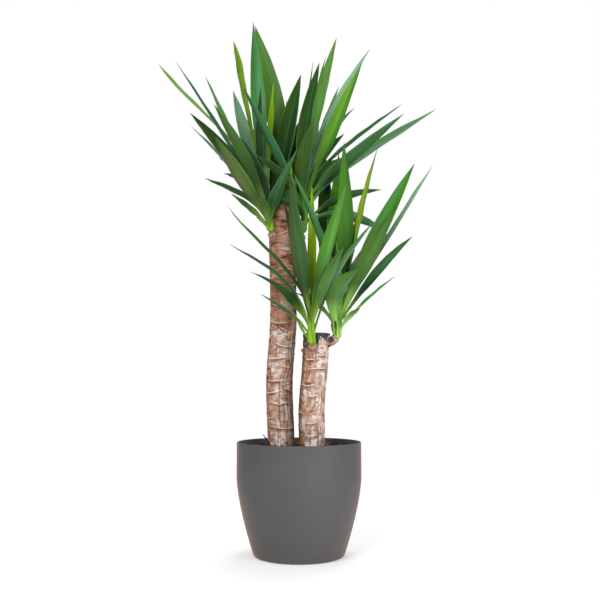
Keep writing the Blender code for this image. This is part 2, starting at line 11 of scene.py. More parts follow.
import bpy
import numpy as np
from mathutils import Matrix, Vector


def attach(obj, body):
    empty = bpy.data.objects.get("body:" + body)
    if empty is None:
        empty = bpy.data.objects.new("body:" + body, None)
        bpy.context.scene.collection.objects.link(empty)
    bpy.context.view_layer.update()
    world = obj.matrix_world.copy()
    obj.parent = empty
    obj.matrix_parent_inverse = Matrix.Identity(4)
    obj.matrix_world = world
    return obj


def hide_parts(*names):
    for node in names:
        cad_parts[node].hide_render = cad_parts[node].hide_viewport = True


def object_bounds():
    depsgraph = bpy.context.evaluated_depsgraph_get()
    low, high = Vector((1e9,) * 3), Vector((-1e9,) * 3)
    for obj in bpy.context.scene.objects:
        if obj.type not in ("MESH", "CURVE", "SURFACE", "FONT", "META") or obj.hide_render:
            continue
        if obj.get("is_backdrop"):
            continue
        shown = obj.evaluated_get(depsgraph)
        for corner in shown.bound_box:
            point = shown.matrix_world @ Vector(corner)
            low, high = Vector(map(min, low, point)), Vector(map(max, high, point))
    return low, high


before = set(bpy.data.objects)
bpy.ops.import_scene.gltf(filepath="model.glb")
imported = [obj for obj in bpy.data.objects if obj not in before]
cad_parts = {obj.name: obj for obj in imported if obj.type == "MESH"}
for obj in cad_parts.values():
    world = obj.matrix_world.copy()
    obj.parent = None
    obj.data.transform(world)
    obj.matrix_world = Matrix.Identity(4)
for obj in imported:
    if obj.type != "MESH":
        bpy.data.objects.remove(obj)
CAD_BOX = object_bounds()

CM = 0.01
MM = 0.001
GAP = 0.3 * MM
TAU = 2 * math.pi
GOLDEN_TURN = 137.5 / 360

# The eye, which is the camera
EYE_DISTANCE = 1.70
EYE_HEIGHT = 0.347
EYE_SIDE = 0.002
LOOK_UP = math.radians(5.5)

# Planter
POT_HEIGHT = 0.224
RIM_RADIUS = 0.125
FOOT_RADIUS = 0.0900
BEND_HEIGHT = 0.155
BEND_POWER = 1.5
WALL = 3.0 * MM
FLOOR = 4.5 * MM
FOOT_ROUND = 5.0 * MM
POT_SIDES = 192

# Potting soil
SOIL_LEVEL = 0.213
SOIL_SIDES = 300
CHIPS = 1500

# Bark: columns of cork plates round a cane, a plate's width and height in mm, how far the
# bark stands proud of the cane's solid, and the steps between unseen scars in cm
COLUMNS = 21
PLATE_WIDE = 8.0
PLATE_HIGH = 14.0
BARK_PROUD = 0.9
SCAR_STEP = 1.7
CANE_SIDES = 172
RING_STEP = 0.95 * MM
# The bearing, on the front right, where painted light makes the bark palest
PALE_SIDE = math.radians(-66)

# Wax: how far it stands proud of the cane, and how high its dome is
WAX_PROUD = 2.0 * MM
WAX_DOME = 2.0 * MM
WAX_SIDES = 144

# Leaves
LEAF_THICKNESS = 0.8 * MM
LEAF_BASE = 0.38
LEAF_TIP = 0.05
# A leaf's usual form: how straight its outer half is, where it is widest, and the power of
# the curve that narrows it from there to the tip
USUAL_FORM = (0.7, 0.48, 1.9)
BASE_TURN = 0.65
TWIST_BY = 0.45
VIA_PULL = 0.38
ROOT_OFFSET = 0.4
WIDTH_TO_LENGTH = 0.075
NARROWEST = 1.9 * CM
SPARE_WIDTH = 1.05
MOST_TURNED = 2.2
WIDEST = 4.0 * CM
LEAF_ROWS = 52
LEAF_SPAN = 13
# How deep painted shade darkens a blade inside the crown
SHELTER = 0.42
RIPPLE = 0.55 * MM
# Veins and broader bands in the blade: cycles in a millimetre, across and along
VEIN_SCALE = (0.62, 0.004, 1.0)
BAND_SCALE = (0.13, 0.009, 1.0)

# Far side leaves: the stem shares that carry them, and their lean in degrees
LOWEST_BACK = 0.15
HIGHEST_BACK = 0.85
LOW_LEAN = 62
HIGH_LEAN = 24


# Numbers and curves


def linear(code):
    """An sRGB hex colour as linear red, green, blue."""
    parts = [int(code[k:k + 2], 16) / 255 for k in (1, 3, 5)]
    return np.array([c / 12.92 if c <= 0.04045 else ((c + 0.055) / 1.055) ** 2.4 for c in parts])


def unit(vectors):
    """The vectors at length one."""
    return vectors / np.linalg.norm(vectors, axis=-1, keepdims=True)


def held(t):
    """The values, held between 0 and 1."""
    return np.clip(t, 0, 1)


def smooth_step(t):
    """Zero to one with level ends: 3t^2 - 2t^3."""
    t = held(t)
    return t * t * (3 - 2 * t)


def bell(t):
    """A bell, exp(-t^2)."""
    return np.exp(-np.square(t))


def around(count):
    """Angles that go once round in equal steps."""
    return np.arange(count) * TAU / count


def sighted(across, up, toward):
    """The point on the sight line through (across, up) that lies toward the eye by toward."""
    nearer = (EYE_DISTANCE - toward * CM) / EYE_DISTANCE
    height = EYE_HEIGHT + (up * CM - EYE_HEIGHT) * nearer
    return np.array([across * CM * nearer, -toward * CM, height])


def through(points, t):
    """A smooth curve through the points, a Catmull-Rom spline, read at t from 0 to 1."""
    points = np.asarray(points, float)
    padded = np.vstack([2 * points[0] - points[1], points, 2 * points[-1] - points[-2]])
    place = held(np.asarray(t, float)) * (len(points) - 1)
    first = np.minimum(place.astype(int), len(points) - 2)
    u = (place - first)[:, None]
    p0, p1, p2, p3 = (padded[first + k] for k in range(4))
    bend = 2 * p0 - 5 * p1 + 4 * p2 - p3
    return 0.5 * (2 * p1 + (p2 - p0) * u + bend * u**2 + (3 * p1 - p0 - 3 * p2 + p3) * u**3)


def bezier(controls, t):
    """The cubic Bezier curve of four control points."""
    s = 1 - t
    return np.stack([s**3, 3 * s * s * t, 3 * s * t * t, t**3], -1) @ controls


def cells(x, y, seed, wrap=257):
    """Value noise from 0 to 1: random numbers on the whole numbers of x and y, blended by
    smooth steps in between. x repeats after wrap cells, and y after 257."""
    table = np.random.default_rng(seed).random((257, wrap))
    x, y = np.broadcast_arrays(np.asarray(x, float), np.asarray(y, float))
    left, low = np.floor(x).astype(int), np.floor(y).astype(int)
    u, v = smooth_step(x - left), smooth_step(y - low)
    a, b = left % wrap, (left + 1) % wrap
    c, d = low % 257, (low + 1) % 257
    under = table[c, a] * (1 - u) + table[c, b] * u
    over = table[d, a] * (1 - u) + table[d, b] * u
    return under * (1 - v) + over * v


def creases(x, y, seed, wrap, width):
    """Lines where the noise crosses its middle: 1 on the line, falling to 0 beside it."""
    return held(1 - np.abs(2 * cells(x, y, seed, wrap) - 1) / width)


# Meshes


def level_rings(x, y, radius, angles, height):
    """Rings about the upright line at (x, y): a radius at each angle, at a height."""
    return np.stack(
        np.broadcast_arrays(x + radius * np.cos(angles), y + radius * np.sin(angles), height), -1
    )


def turned(profile, sides):
    """Rings of (radius, height) turned about Z, one row for each point of the profile."""
    radius, height = np.asarray(profile, float).T[..., None]
    return level_rings(0, 0, radius, around(sides), height)


def closed(points, flip=False, **values):
    """A closed part over rows of rings, with a pole at the middle of each end.

    values are floats or colours, one for each point or fewer that spread over the rings,
    and a pole takes its ring's first. flip turns the faces over.
    """
    rows, columns = points.shape[:2]
    i, j = np.indices((rows - 1, columns))
    a, b = i * columns + j, i * columns + (j + 1) % columns
    quads = np.stack([a, b, b + columns, a + columns], -1).reshape(-1, 4)
    here = np.arange(columns)
    after, last, pole = (here + 1) % columns, (rows - 1) * columns, rows * columns
    low = np.stack([after, here, 0 * here + pole], -1)
    high = np.stack([0 * here + pole + 1, last + here, last + after], -1)
    way = -1 if flip else 1
    part = {"points": np.vstack([points.reshape(-1, 3), points[0].mean(0), points[-1].mean(0)])}
    part["quads"], part["tris"] = quads[:, ::way], np.vstack([low, high])[:, ::way]
    for key, value in values.items():
        more = np.shape(value)[2:]
        flat = np.broadcast_to(value, (rows, columns, *more)).astype(float).reshape(pole, *more)
        part[key] = np.concatenate([flat, flat[[0, last]]])
    return part


def placed(name, data):
    """A new object in the scene."""
    made = bpy.data.objects.new(name, data)
    bpy.context.scene.collection.objects.link(made)
    return made


def piece(name, parts, material, replaces=()):
    """One object from parts of the same kind: its mesh, values per point, finish and body."""
    starts = np.cumsum([0] + [len(part["points"]) for part in parts])
    points = np.vstack([part["points"] for part in parts])
    quads, tris = (
        np.vstack([part[key] + start for part, start in zip(parts, starts)])
        for key in ("quads", "tris")
    )
    corners = np.concatenate([quads.ravel(), tris.ravel()]).astype(np.int32)
    loops = np.concatenate([np.arange(len(quads)) * 4, quads.size + np.arange(len(tris)) * 3])
    mesh = bpy.data.meshes.new(name)
    mesh.vertices.add(len(points))
    mesh.vertices.foreach_set("co", points.astype(np.float32).ravel())
    mesh.loops.add(len(corners))
    mesh.loops.foreach_set("vertex_index", corners)
    mesh.polygons.add(len(loops))
    mesh.polygons.foreach_set("loop_start", loops.astype(np.int32))
    for key in [key for key in parts[0] if key not in ("points", "quads", "tris")]:
        values = np.concatenate([part[key] for part in parts]).astype(np.float32)
        if key == "uv":
            mesh.uv_layers.new(name="UVMap").data.foreach_set("uv", values[corners].ravel())
        elif values.ndim == 2:
            solid = np.hstack([values, np.ones((len(values), 1), np.float32)]).ravel()
            mesh.attributes.new(key, "FLOAT_COLOR", "POINT").data.foreach_set("color", solid)
        else:
            mesh.attributes.new(key, "FLOAT", "POINT").data.foreach_set("value", values)
    mesh.update(calc_edges=True)
    mesh.validate()
    mesh.shade_smooth()
    mesh.materials.append(material)
    made = placed(name, mesh)
    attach(made, "root")
    if replaces:
        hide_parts(*replaces)


# Materials

# The output that a kind of node gives on, where it isn't Fac
OUTPUTS = {
    "TexCoord": "Object", "UVMap": "UV", "Mapping": "Vector", "VectorMath": "Vector",
    "Math": "Value", "MapRange": "Result", "Mix": "Result", "ValToRGB": "Color",
    "TexVoronoi": "Distance", "SeparateXYZ": "Z", "Bump": "Normal", "LightPath": "Is Camera Ray",
}
COLOURS = {"data_type": "RGBA"}
SHADES = {"data_type": "RGBA", "blend_type": "MULTIPLY"}


def give(tree, socket, value):
    """Links a socket to another, or sets it, to a colour if the value is a hex code."""
    if isinstance(value, bpy.types.NodeSocket):
        tree.links.new(value, socket)
    else:
        socket.default_value = (*linear(value), 1) if isinstance(value, str) else value


def add_node(tree, kind, inputs=(), stops=(), out=None, **settings):
    """Adds a node with its settings and links, and returns its output.

    stops are a colour ramp's (position, hex colour or grey value) pairs, its two ends first.
    """
    made = tree.nodes.new("ShaderNode" + kind)
    for key, value in settings.items():
        setattr(made, key, value)
    for key, value in dict(inputs).items():
        give(tree, made.inputs[key], value)
    for count, (position, value) in enumerate(stops):
        ramp = made.color_ramp.elements
        stop = ramp[count] if count < 2 else ramp.new(position)
        stop.position = position
        stop.color = (*linear(value), 1) if isinstance(value, str) else (value, value, value, 1)
    return made.outputs[out or OUTPUTS.get(kind, "Fac")]


def finish(made, **sockets):
    """Sets or links the sockets of the material's shader, named with _ for a space."""
    shader = made.node_tree.nodes["Principled BSDF"]
    for key, value in sockets.items():
        key = key.replace("_", " ").title().replace("Ior", "IOR")
        give(made.node_tree, shader.inputs[key], value)
    return made


def new_material(name):
    """For a new material, what adds its nodes, and what sets its shader and returns it."""
    made = bpy.data.materials.new(name)
    made.use_nodes = True
    return partial(add_node, made.node_tree), partial(finish, made)


def moulded_polypropylene():
    """Polypropylene, injection moulded in a spark-eroded tool: matt, with a fine even grain
    that scatters the light, faint flow clouds in the anthracite colour, painted shade that
    darkens it toward the foot, and a warm sheen at grazing angles."""
    add, end = new_material("moulded_polypropylene_anthracite")
    place = add("TexCoord")
    clouds = add("TexNoise", {"Vector": place, "Scale": 22, "Detail": 3})
    # Spark grain is 0.1 mm; it is drawn at 1.2 mm so that it shows
    grain = add("TexNoise", {"Vector": place, "Scale": 830, "Detail": 2})
    colour = add("ValToRGB", {"Fac": clouds}, [(0.25, "#545457"), (0.75, "#58585b")])
    speck = add("ValToRGB", {"Fac": grain}, [(0.35, 0.80), (0.65, 1.0)])
    height = add("SeparateXYZ", {"Vector": place})
    # Painted shade: below 16 cm the colour darkens toward #4c4946 at the foot
    low = add("MapRange", {"Value": height, "From Min": 0.16, "From Max": 0, "To Max": 0.8})
    body = add("Mix", {"Factor": low, "A": colour, "B": "#4c4946"}, **COLOURS)
    mixed = add("Mix", {"Factor": 0.5, "A": body, "B": speck}, **SHADES)
    rough = add("MapRange", {"Value": grain, "To Min": 0.50, "To Max": 0.62})
    bump = add("Bump", {"Height": grain, "Strength": 0.25, "Distance": 0.0004})
    return end(
        normal=bump, base_color=mixed, roughness=rough, ior=1.49, specular_ior_level=0.4,
        sheen_weight=0.9, sheen_roughness=0.32, sheen_tint="#c08a70",
    )


def corky_bark():
    """Yucca bark, grown and split: pale corky plates in a web of reddish-brown fibres, ringed
    by the cream scars of shed leaves. It is dull, so plates, web and scars make its look.

    Chips within the plates are Voronoi cells 4 mm wide and 6 mm high, with their borders
    knocked out of line by noise. The attributes scar, pale, young, plate and tone come from
    the same formulas as the relief. pale holds painted light on the front right as well as
    the plates' own paleness; plate holds painted shade under the scars and toward the other
    cane as well as the dark cracks.
    """
    add, end = new_material("yucca_cane_bark")
    plate, scar, pale, young, tone = (
        add("Attribute", attribute_name=key) for key in ("plate", "scar", "pale", "young", "tone")
    )
    mm = add("Mapping", {"Vector": add("TexCoord"), "Scale": (1000, 1000, 1000)})
    rough_noise = {"Vector": mm, "Scale": 0.16, "Detail": 4, "Roughness": 0.62}
    knocks = add("TexNoise", rough_noise, out="Color")
    shift = add("VectorMath", {0: knocks, 1: (0.5, 0.5, 0.5)}, operation="SUBTRACT")
    shift = add("VectorMath", {0: shift, 1: (8.0, 8.0, 9.0)}, operation="MULTIPLY")
    warped = add("VectorMath", {0: mm, 1: shift})
    small = add("Mapping", {"Vector": warped, "Scale": (0.24, 0.24, 0.17)})
    chip = add("TexVoronoi", {"Vector": small, "Scale": 1}, feature="DISTANCE_TO_EDGE")
    chip_tone = add("TexVoronoi", {"Vector": small, "Scale": 1}, out="Color")
    # Cork fibres run up the cane, 0.5 mm wide; drawn at 1.2 mm so that they show
    upright = add("Mapping", {"Vector": warped, "Scale": (0.85, 0.85, 0.09)})
    fibre = add("TexNoise", {"Vector": upright, "Scale": 1, "Detail": 3})
    level = add("Mapping", {"Vector": warped, "Scale": (0.045, 0.045, 0.15)})
    wrinkle = add("TexNoise", {"Vector": level, "Scale": 1, "Detail": 5, "Roughness": 0.6})
    cream = add("ValToRGB", {"Fac": tone}, [(0.25, "#c8a08a"), (0.75, "#fbf0ea"), (0.5, "#e4cdc0")])
    browns = [(0.05, "#985e40"), (0.95, "#deb498"), (0.5, "#be8464")]
    brown = add("ValToRGB", {"Fac": chip_tone}, browns)
    web = add("ValToRGB", {"Fac": fibre}, [(0.34, "#5c3826"), (0.70, "#c48e70"), (0.52, "#905a40")])
    reds = [(0.34, "#5c382a"), (0.72, "#dcb29a"), (0.42, "#9c6a50"), (0.56, "#c08c70")]
    red = add("ValToRGB", {"Fac": wrinkle}, reds)
    # pale mixes in cream: the plates' own paleness, and painted light on the front right
    old = add("Mix", {"Factor": pale, "A": brown, "B": cream}, **COLOURS)
    chipped = add("MapRange", {"Value": chip, "From Max": 0.09, "To Min": 0.72})
    streak = add("MapRange", {"Value": fibre, "From Min": 0.34, "From Max": 0.44, "To Min": 0.72})
    whole = add("Math", {0: chipped, 1: streak}, operation="MULTIPLY")
    corky = add("Mix", {"Factor": whole, "A": web, "B": old}, **COLOURS)
    body = add("Mix", {"Factor": young, "A": corky, "B": red}, **COLOURS)
    # plate darkens to #4a2e22: dark cracks, and painted shade under the scars and toward the other
    # cane
    split = add("Mix", {"Factor": plate, "A": "#4a2e22", "B": body}, **COLOURS)
    marked = add("Mix", {"Factor": scar, "A": split, "B": "#fff4e4"}, **COLOURS)
    rough = add("MapRange", {"Value": fibre, "To Min": 0.78, "To Max": 0.95})
    both = add("Math", {0: whole, 1: wrinkle}, operation="ADD")
    bump = add("Bump", {"Height": both, "Strength": 0.6, "Distance": 0.0009})
    return end(normal=bump, base_color=marked, roughness=rough, ior=1.45, specular_ior_level=0.3)


def grafting_wax():
    """Grafting wax, melted and brushed on the sawn wood: nearly black, with a dull skin,
    small runs and brush marks, glossy only where it ran thick. It is greyer where the
    attribute worn says: where it is rubbed thin, and in a painted
    highlight on the bud scar's raised ring."""
    add, end = new_material("brushed_grafting_wax")
    blots = add("TexNoise", {"Vector": add("TexCoord"), "Scale": 120, "Detail": 4})
    # Greyer by random wear, and by the painted highlight on the bud scar's ring
    both = add("Math", {0: blots, 1: add("Attribute", attribute_name="worn")}, operation="ADD")
    blacks = [(0.32, "#1c1a1e"), (0.72, "#625c60"), (0.52, "#343138")]
    colour = add("ValToRGB", {"Fac": both}, blacks)
    rough = add("MapRange", {"Value": blots, "To Min": 0.34, "To Max": 0.62})
    bump = add("Bump", {"Height": blots, "Strength": 0.5, "Distance": 0.001})
    return end(normal=bump, base_color=colour, roughness=rough, ior=1.44)


def peat_soil():
    """Peat and bark potting soil, loose and moist: crumbs of several browns, quite dull."""
    add, end = new_material("peat_potting_soil")
    place = add("TexCoord")
    crumb = add("TexNoise", {"Vector": place, "Scale": 420, "Detail": 5, "Roughness": 0.7})
    lumps = add("TexVoronoi", {"Vector": place, "Scale": 260})
    browns = [(0.30, "#18100c"), (0.74, "#6a4a34"), (0.52, "#36241a")]
    colour = add("ValToRGB", {"Fac": crumb}, browns)
    # Painted shade: each lump darkens from its middle toward its edges
    shade = add("ValToRGB", {"Fac": lumps}, [(0.0, 1.0), (0.75, 0.55)])
    mixed = add("Mix", {"Factor": 1.0, "A": colour, "B": shade}, **SHADES)
    bump = add("Bump", {"Height": crumb, "Strength": 0.8, "Distance": 0.0015})
    return end(normal=bump, base_color=mixed, roughness=0.92, ior=1.4, specular_ior_level=0.25)


def bark_chip():
    """Pine bark chips, grit and dry fibres, tumbled: each has its own brown, in tint, broken
    by fine grain, and dry enough to stay dull."""
    add, end = new_material("pine_bark_chips")
    tint = add("Attribute", attribute_name="tint", out="Color")
    grain = add("TexNoise", {"Vector": add("TexCoord"), "Scale": 900, "Detail": 3})
    shade = add("ValToRGB", {"Fac": grain}, [(0.3, 0.55), (0.7, 1.25)])
    mixed = add("Mix", {"Factor": 1.0, "A": tint, "B": shade}, **SHADES)
    bump = add("Bump", {"Height": grain, "Strength": 0.6, "Distance": 0.0008})
    return end(normal=bump, base_color=mixed, roughness=0.85, ior=1.45, specular_ior_level=0.3)


def yucca_blade():
    """Living yucca leaf, grown in a bud: a waxy cuticle with a satin gloss over parallel
    veins, so it shows fine lengthwise streaks, a paler fold and a thin pale margin.

    tint is each leaf's colour along its length, with painted shade inside the crown and
    painted light and shade on the two sides of its fold; side runs from -1 to 1 across it;
    under is 1 on the lower face; gloss falls where dust dulls the base; the UV map gives
    millimetres across and along.
    """
    add, end = new_material("yucca_leaf_cuticle")
    tint = add("Attribute", attribute_name="tint", out="Color")
    side, under, gloss = (
        add("Attribute", attribute_name=key) for key in ("side", "under", "gloss")
    )
    along = add("UVMap", uv_map="UVMap")
    # Veins stand 0.8 mm apart; they are drawn at 1.6 mm so that they show
    scaled = (add("Mapping", {"Vector": along, "Scale": s}) for s in (VEIN_SCALE, BAND_SCALE))
    veins, bands = (
        add("TexNoise", {"Vector": place, "Scale": 1, "Detail": detail})
        for place, detail in zip(scaled, (2.0, 3.0))
    )
    vein_shade = add("ValToRGB", {"Fac": veins}, [(0.34, 0.72), (0.66, 1.18)])
    band_shade = add("ValToRGB", {"Fac": bands}, [(0.34, 0.74), (0.68, 1.22)])
    streaked = add("Mix", {"Factor": 0.75, "A": tint, "B": vein_shade}, **SHADES)
    banded = add("Mix", {"Factor": 0.8, "A": streaked, "B": band_shade}, **SHADES)
    paler = add("Mix", {"Factor": 0.10, "A": banded, "B": "#6f9a68"}, **COLOURS)
    faced = add("Mix", {"Factor": under, "A": banded, "B": paler}, **COLOURS)
    edge = add("Math", {0: side}, operation="ABSOLUTE")
    fold = add("MapRange", {"Value": edge, "From Max": 0.16, "To Min": 0.06, "To Max": 0})
    light = add("Mix", {"Factor": fold, "A": faced, "B": "#86b04c"}, **COLOURS)
    margin = add("MapRange", {"Value": edge, "From Min": 0.86, "From Max": 0.96, "To Max": 0.40})
    rimmed = add("Mix", {"Factor": margin, "A": light, "B": "#9cc070"}, **COLOURS)
    rough = add("MapRange", {"Value": bands, "To Min": 0.36, "To Max": 0.50})
    dull = add("MapRange", {"Value": gloss, "To Min": 0.34, "To Max": 0})
    skin = add("Math", {0: rough, 1: dull}, operation="ADD")
    bump = add("Bump", {"Height": veins, "Strength": 0.14, "Distance": 0.0005})
    return end(normal=bump, base_color=rimmed, roughness=skin, ior=1.43, specular_ior_level=0.17)


# Planter and soil


def pot_radius(height):
    """Outer radius: straight at the top, then drawn in to the foot by a power curve."""
    below = held((BEND_HEIGHT - np.asarray(height, float)) / BEND_HEIGHT)
    return RIM_RADIUS - (RIM_RADIUS - FOOT_RADIUS) * below**BEND_POWER


def pot():
    """The planter: its outline goes up the outside, over a round lip and down the inside."""
    outside = np.linspace(FOOT_ROUND, BEND_HEIGHT, 34)[1:]
    inside = np.linspace(BEND_HEIGHT, FLOOR, 18)
    round_lip = WALL / 2
    lip_height = POT_HEIGHT - round_lip
    foot, lip = np.radians(np.linspace(0, 90, 8)), np.radians(np.linspace(0, 180, 13))
    foot_height = FOOT_ROUND * (1 - np.cos(foot))
    lip_radius = RIM_RADIUS - round_lip + round_lip * np.cos(lip)
    straight = np.linspace(BEND_HEIGHT, lip_height, 8)[1:-1]
    profile = [
        (0.4 * FOOT_RADIUS, 0.0),
        *zip(pot_radius(foot_height) - FOOT_ROUND * (1 - np.sin(foot)), foot_height),
        *zip(pot_radius(outside), outside),
        *((RIM_RADIUS, h) for h in straight),
        *zip(lip_radius, lip_height + round_lip * np.sin(lip)),
        *((RIM_RADIUS - WALL, h) for h in straight[::-1]),
        *zip(pot_radius(inside) - WALL, inside),
        (0.4 * FOOT_RADIUS, FLOOR),
    ]
    piece("planter", [closed(turned(profile, POT_SIDES))], moulded_polypropylene(), ["pot"])


# Where the canes leave the soil: x, y and radius
CANE_FEET = [
    (sighted(across, 22, toward)[0], -toward * CM, radius * CM)
    for across, toward, radius in ((-3.6, -3, 2.66), (2.6, 2, 2.52))
]


def soil_height(x, y):
    """Height of the soil's top: low mounds and 3 mm crumbs, heaped a little at the canes."""
    mounds = 3.2 * (cells(x * 40 + 50, y * 40 + 50, 5) - 0.5)
    crumbs = 1.8 * (cells(x * 230 + 90, y * 230 + 90, 6) - 0.5)
    fine = 1.0 * (cells(x * 520 + 200, y * 520 + 200, 7) - 0.5)
    heap = sum(2.5 * bell((np.hypot(x - a, y - b) - radius) / 0.012) for a, b, radius in CANE_FEET)
    return SOIL_LEVEL + MM * (mounds + crumbs + fine + heap - 0.5)


def soil():
    """The soil: a disc of crumbs on rings about the axis, closed down the planter's inside."""
    inside = WALL + GAP
    radii = np.linspace(RIM_RADIUS - inside - 0.0002, 0.0012, 96)[:, None]
    top = level_rings(0, 0, radii, around(SOIL_SIDES), 0.0)
    top[..., 2] = soil_height(top[..., 0], top[..., 1])
    depths = np.linspace(FLOOR + GAP, SOIL_LEVEL - 0.005, 9)
    walls = [(0.3 * FOOT_RADIUS, FLOOR + GAP), *zip(pot_radius(depths) - inside, depths)]
    rows = np.concatenate([turned(walls, SOIL_SIDES), top])
    piece("potting_soil", [closed(rows)], peat_soil(), ["soil"])


def pebble(rng, size, flat, long):
    """A chip: a six-sided ball of four rings, squashed, stretched and knocked out of true."""
    rise = np.radians([-62, -20, 24, 60])[:, None]
    ball = level_rings(0, 0, np.cos(rise), around(6), np.sin(rise))
    ball = ball * rng.uniform(0.72, 1.18, (4, 6, 1)) * size * np.array([long, 1, flat])
    turn, tip = rng.uniform(0, TAU), rng.uniform(-0.5, 0.5)
    c, s, d, e = math.cos(turn), math.sin(turn), math.cos(tip), math.sin(tip)
    spin = np.array([[c, -s, 0], [s, c, 0], [0, 0, 1]])
    lean = np.array([[d, 0, e], [0, 1, 0], [-e, 0, d]])
    return ball @ lean.T @ spin.T


def soil_crumbs():
    """Bark chips, grit and crumbs strewn over the soil, clear of the canes, and a bent twig."""
    rng = np.random.default_rng(12)
    browns = "#3a2418 #5c3826 #8a5230 #7a6a5c #2a1c14 #a07850 #4c3a30".split()
    shares = (0.28, 0.2, 0.12, 0.08, 0.22, 0.04, 0.06)
    parts = []
    while len(parts) < CHIPS:
        radius = (RIM_RADIUS - WALL) * math.sqrt(rng.uniform(0, 0.955))
        angle = rng.uniform(0, TAU)
        x, y = radius * math.cos(angle), radius * math.sin(angle)
        size = MM * rng.choice([1.1, 1.8, 2.6, 4.2], p=[0.42, 0.32, 0.19, 0.07])
        flat, long = rng.uniform(0.35, 0.9), rng.uniform(1.0, 2.0)
        tint = linear(browns[rng.choice(7, p=shares)]) * rng.uniform(0.7, 1.2)
        ball = pebble(rng, size, flat, long)
        near_wall = radius + size * long > RIM_RADIUS - WALL - 0.0006
        near = (math.hypot(x - a, y - b) < foot + 0.6 * size for a, b, foot in CANE_FEET)
        if near_wall or any(near):
            continue
        ball = ball + np.array([x, y, float(soil_height(x, y)) + 0.35 * size * flat])
        parts.append(closed(ball, tint=tint[None, None]))
    twig = [(-6.0, 21.3, -1.4), (-6.35, 22.6, -1.2), (-6.8, 23.2, -1.1), (-7.25, 23.8, -0.9)]
    t = np.linspace(0, 1, 14)
    path = through([sighted(*place) for place in twig], t)
    thick = MM * np.interp(t, [0, 0.6, 1], [1.5, 1.5, 1.0])[:, None, None]
    rows = path[:, None] + thick * turned([(1, 0)], 8)
    parts.append(closed(rows, tint=linear("#1e1c18")[None, None]))
    piece("bark_chips", parts, bark_chip())


# Canes

# Scars seen on the canes' front, each through three places: their bearings in degrees, and
# their heights in cm
TALL_SCARS = (
    (-157, -114, -57, 47, 46.4, 46.7), (-104, -88, -69, 45.6, 45.1, 44.8),
    (-165, -147, -130, 43.5, 43.8, 44.1), (-84, -75, -66, 43.3, 43.7, 44),
    (-140, -80, -25, 43, 41.6, 41.7), (-155, -118, -64, 39.2, 39.1, 39.5),
    (-105, -79, -45, 37.8, 37.6, 37.3), (-150, -104, -58, 34.8, 34.6, 34.8),
    (-68, -45, -20, 33.1, 32.8, 32.5), (-175, -125, -95, 32.1, 32.2, 32.5),
    (-142, -112, -88, 30.5, 30.1, 29.8), (-88, -70, -52, 29.9, 30.1, 30.2),
    (-170, -130, -100, 27, 27.1, 27.3), (-136, -75, -20, 25.5, 25, 25.1),
    (-60, -42, -22, 54, 54.2, 54.6), (-120, -75, -40, 57.3, 57.6, 57.2),
    (-95, -70, -45, 61.8, 61.5, 61.7), (-115, -85, -60, 64.7, 65, 65.6),
    (-150, -110, -80, 50.4, 49.9, 50),
)
SHORT_SCARS = (
    (-88, -73, -58, 40.7, 40.4, 40.2), (-85, -65, -42, 39.8, 39.8, 39.9),
    (-136, -115, -98, 38.9, 38.9, 39), (-116, -75, -34, 37, 37.1, 37.2),
    (-165, -117, -85, 34.1, 33.6, 33.9), (-112, -88, -64, 26, 26, 26.3),
    (-64, -56, -48, 29.5, 30, 30.5), (-170, -150, -130, 28.4, 28.2, 28),
    (-110, -90, -70, 31.6, 31.5, 31.7), (-120, -90, -60, 23.6, 23.5, 23.8),
)


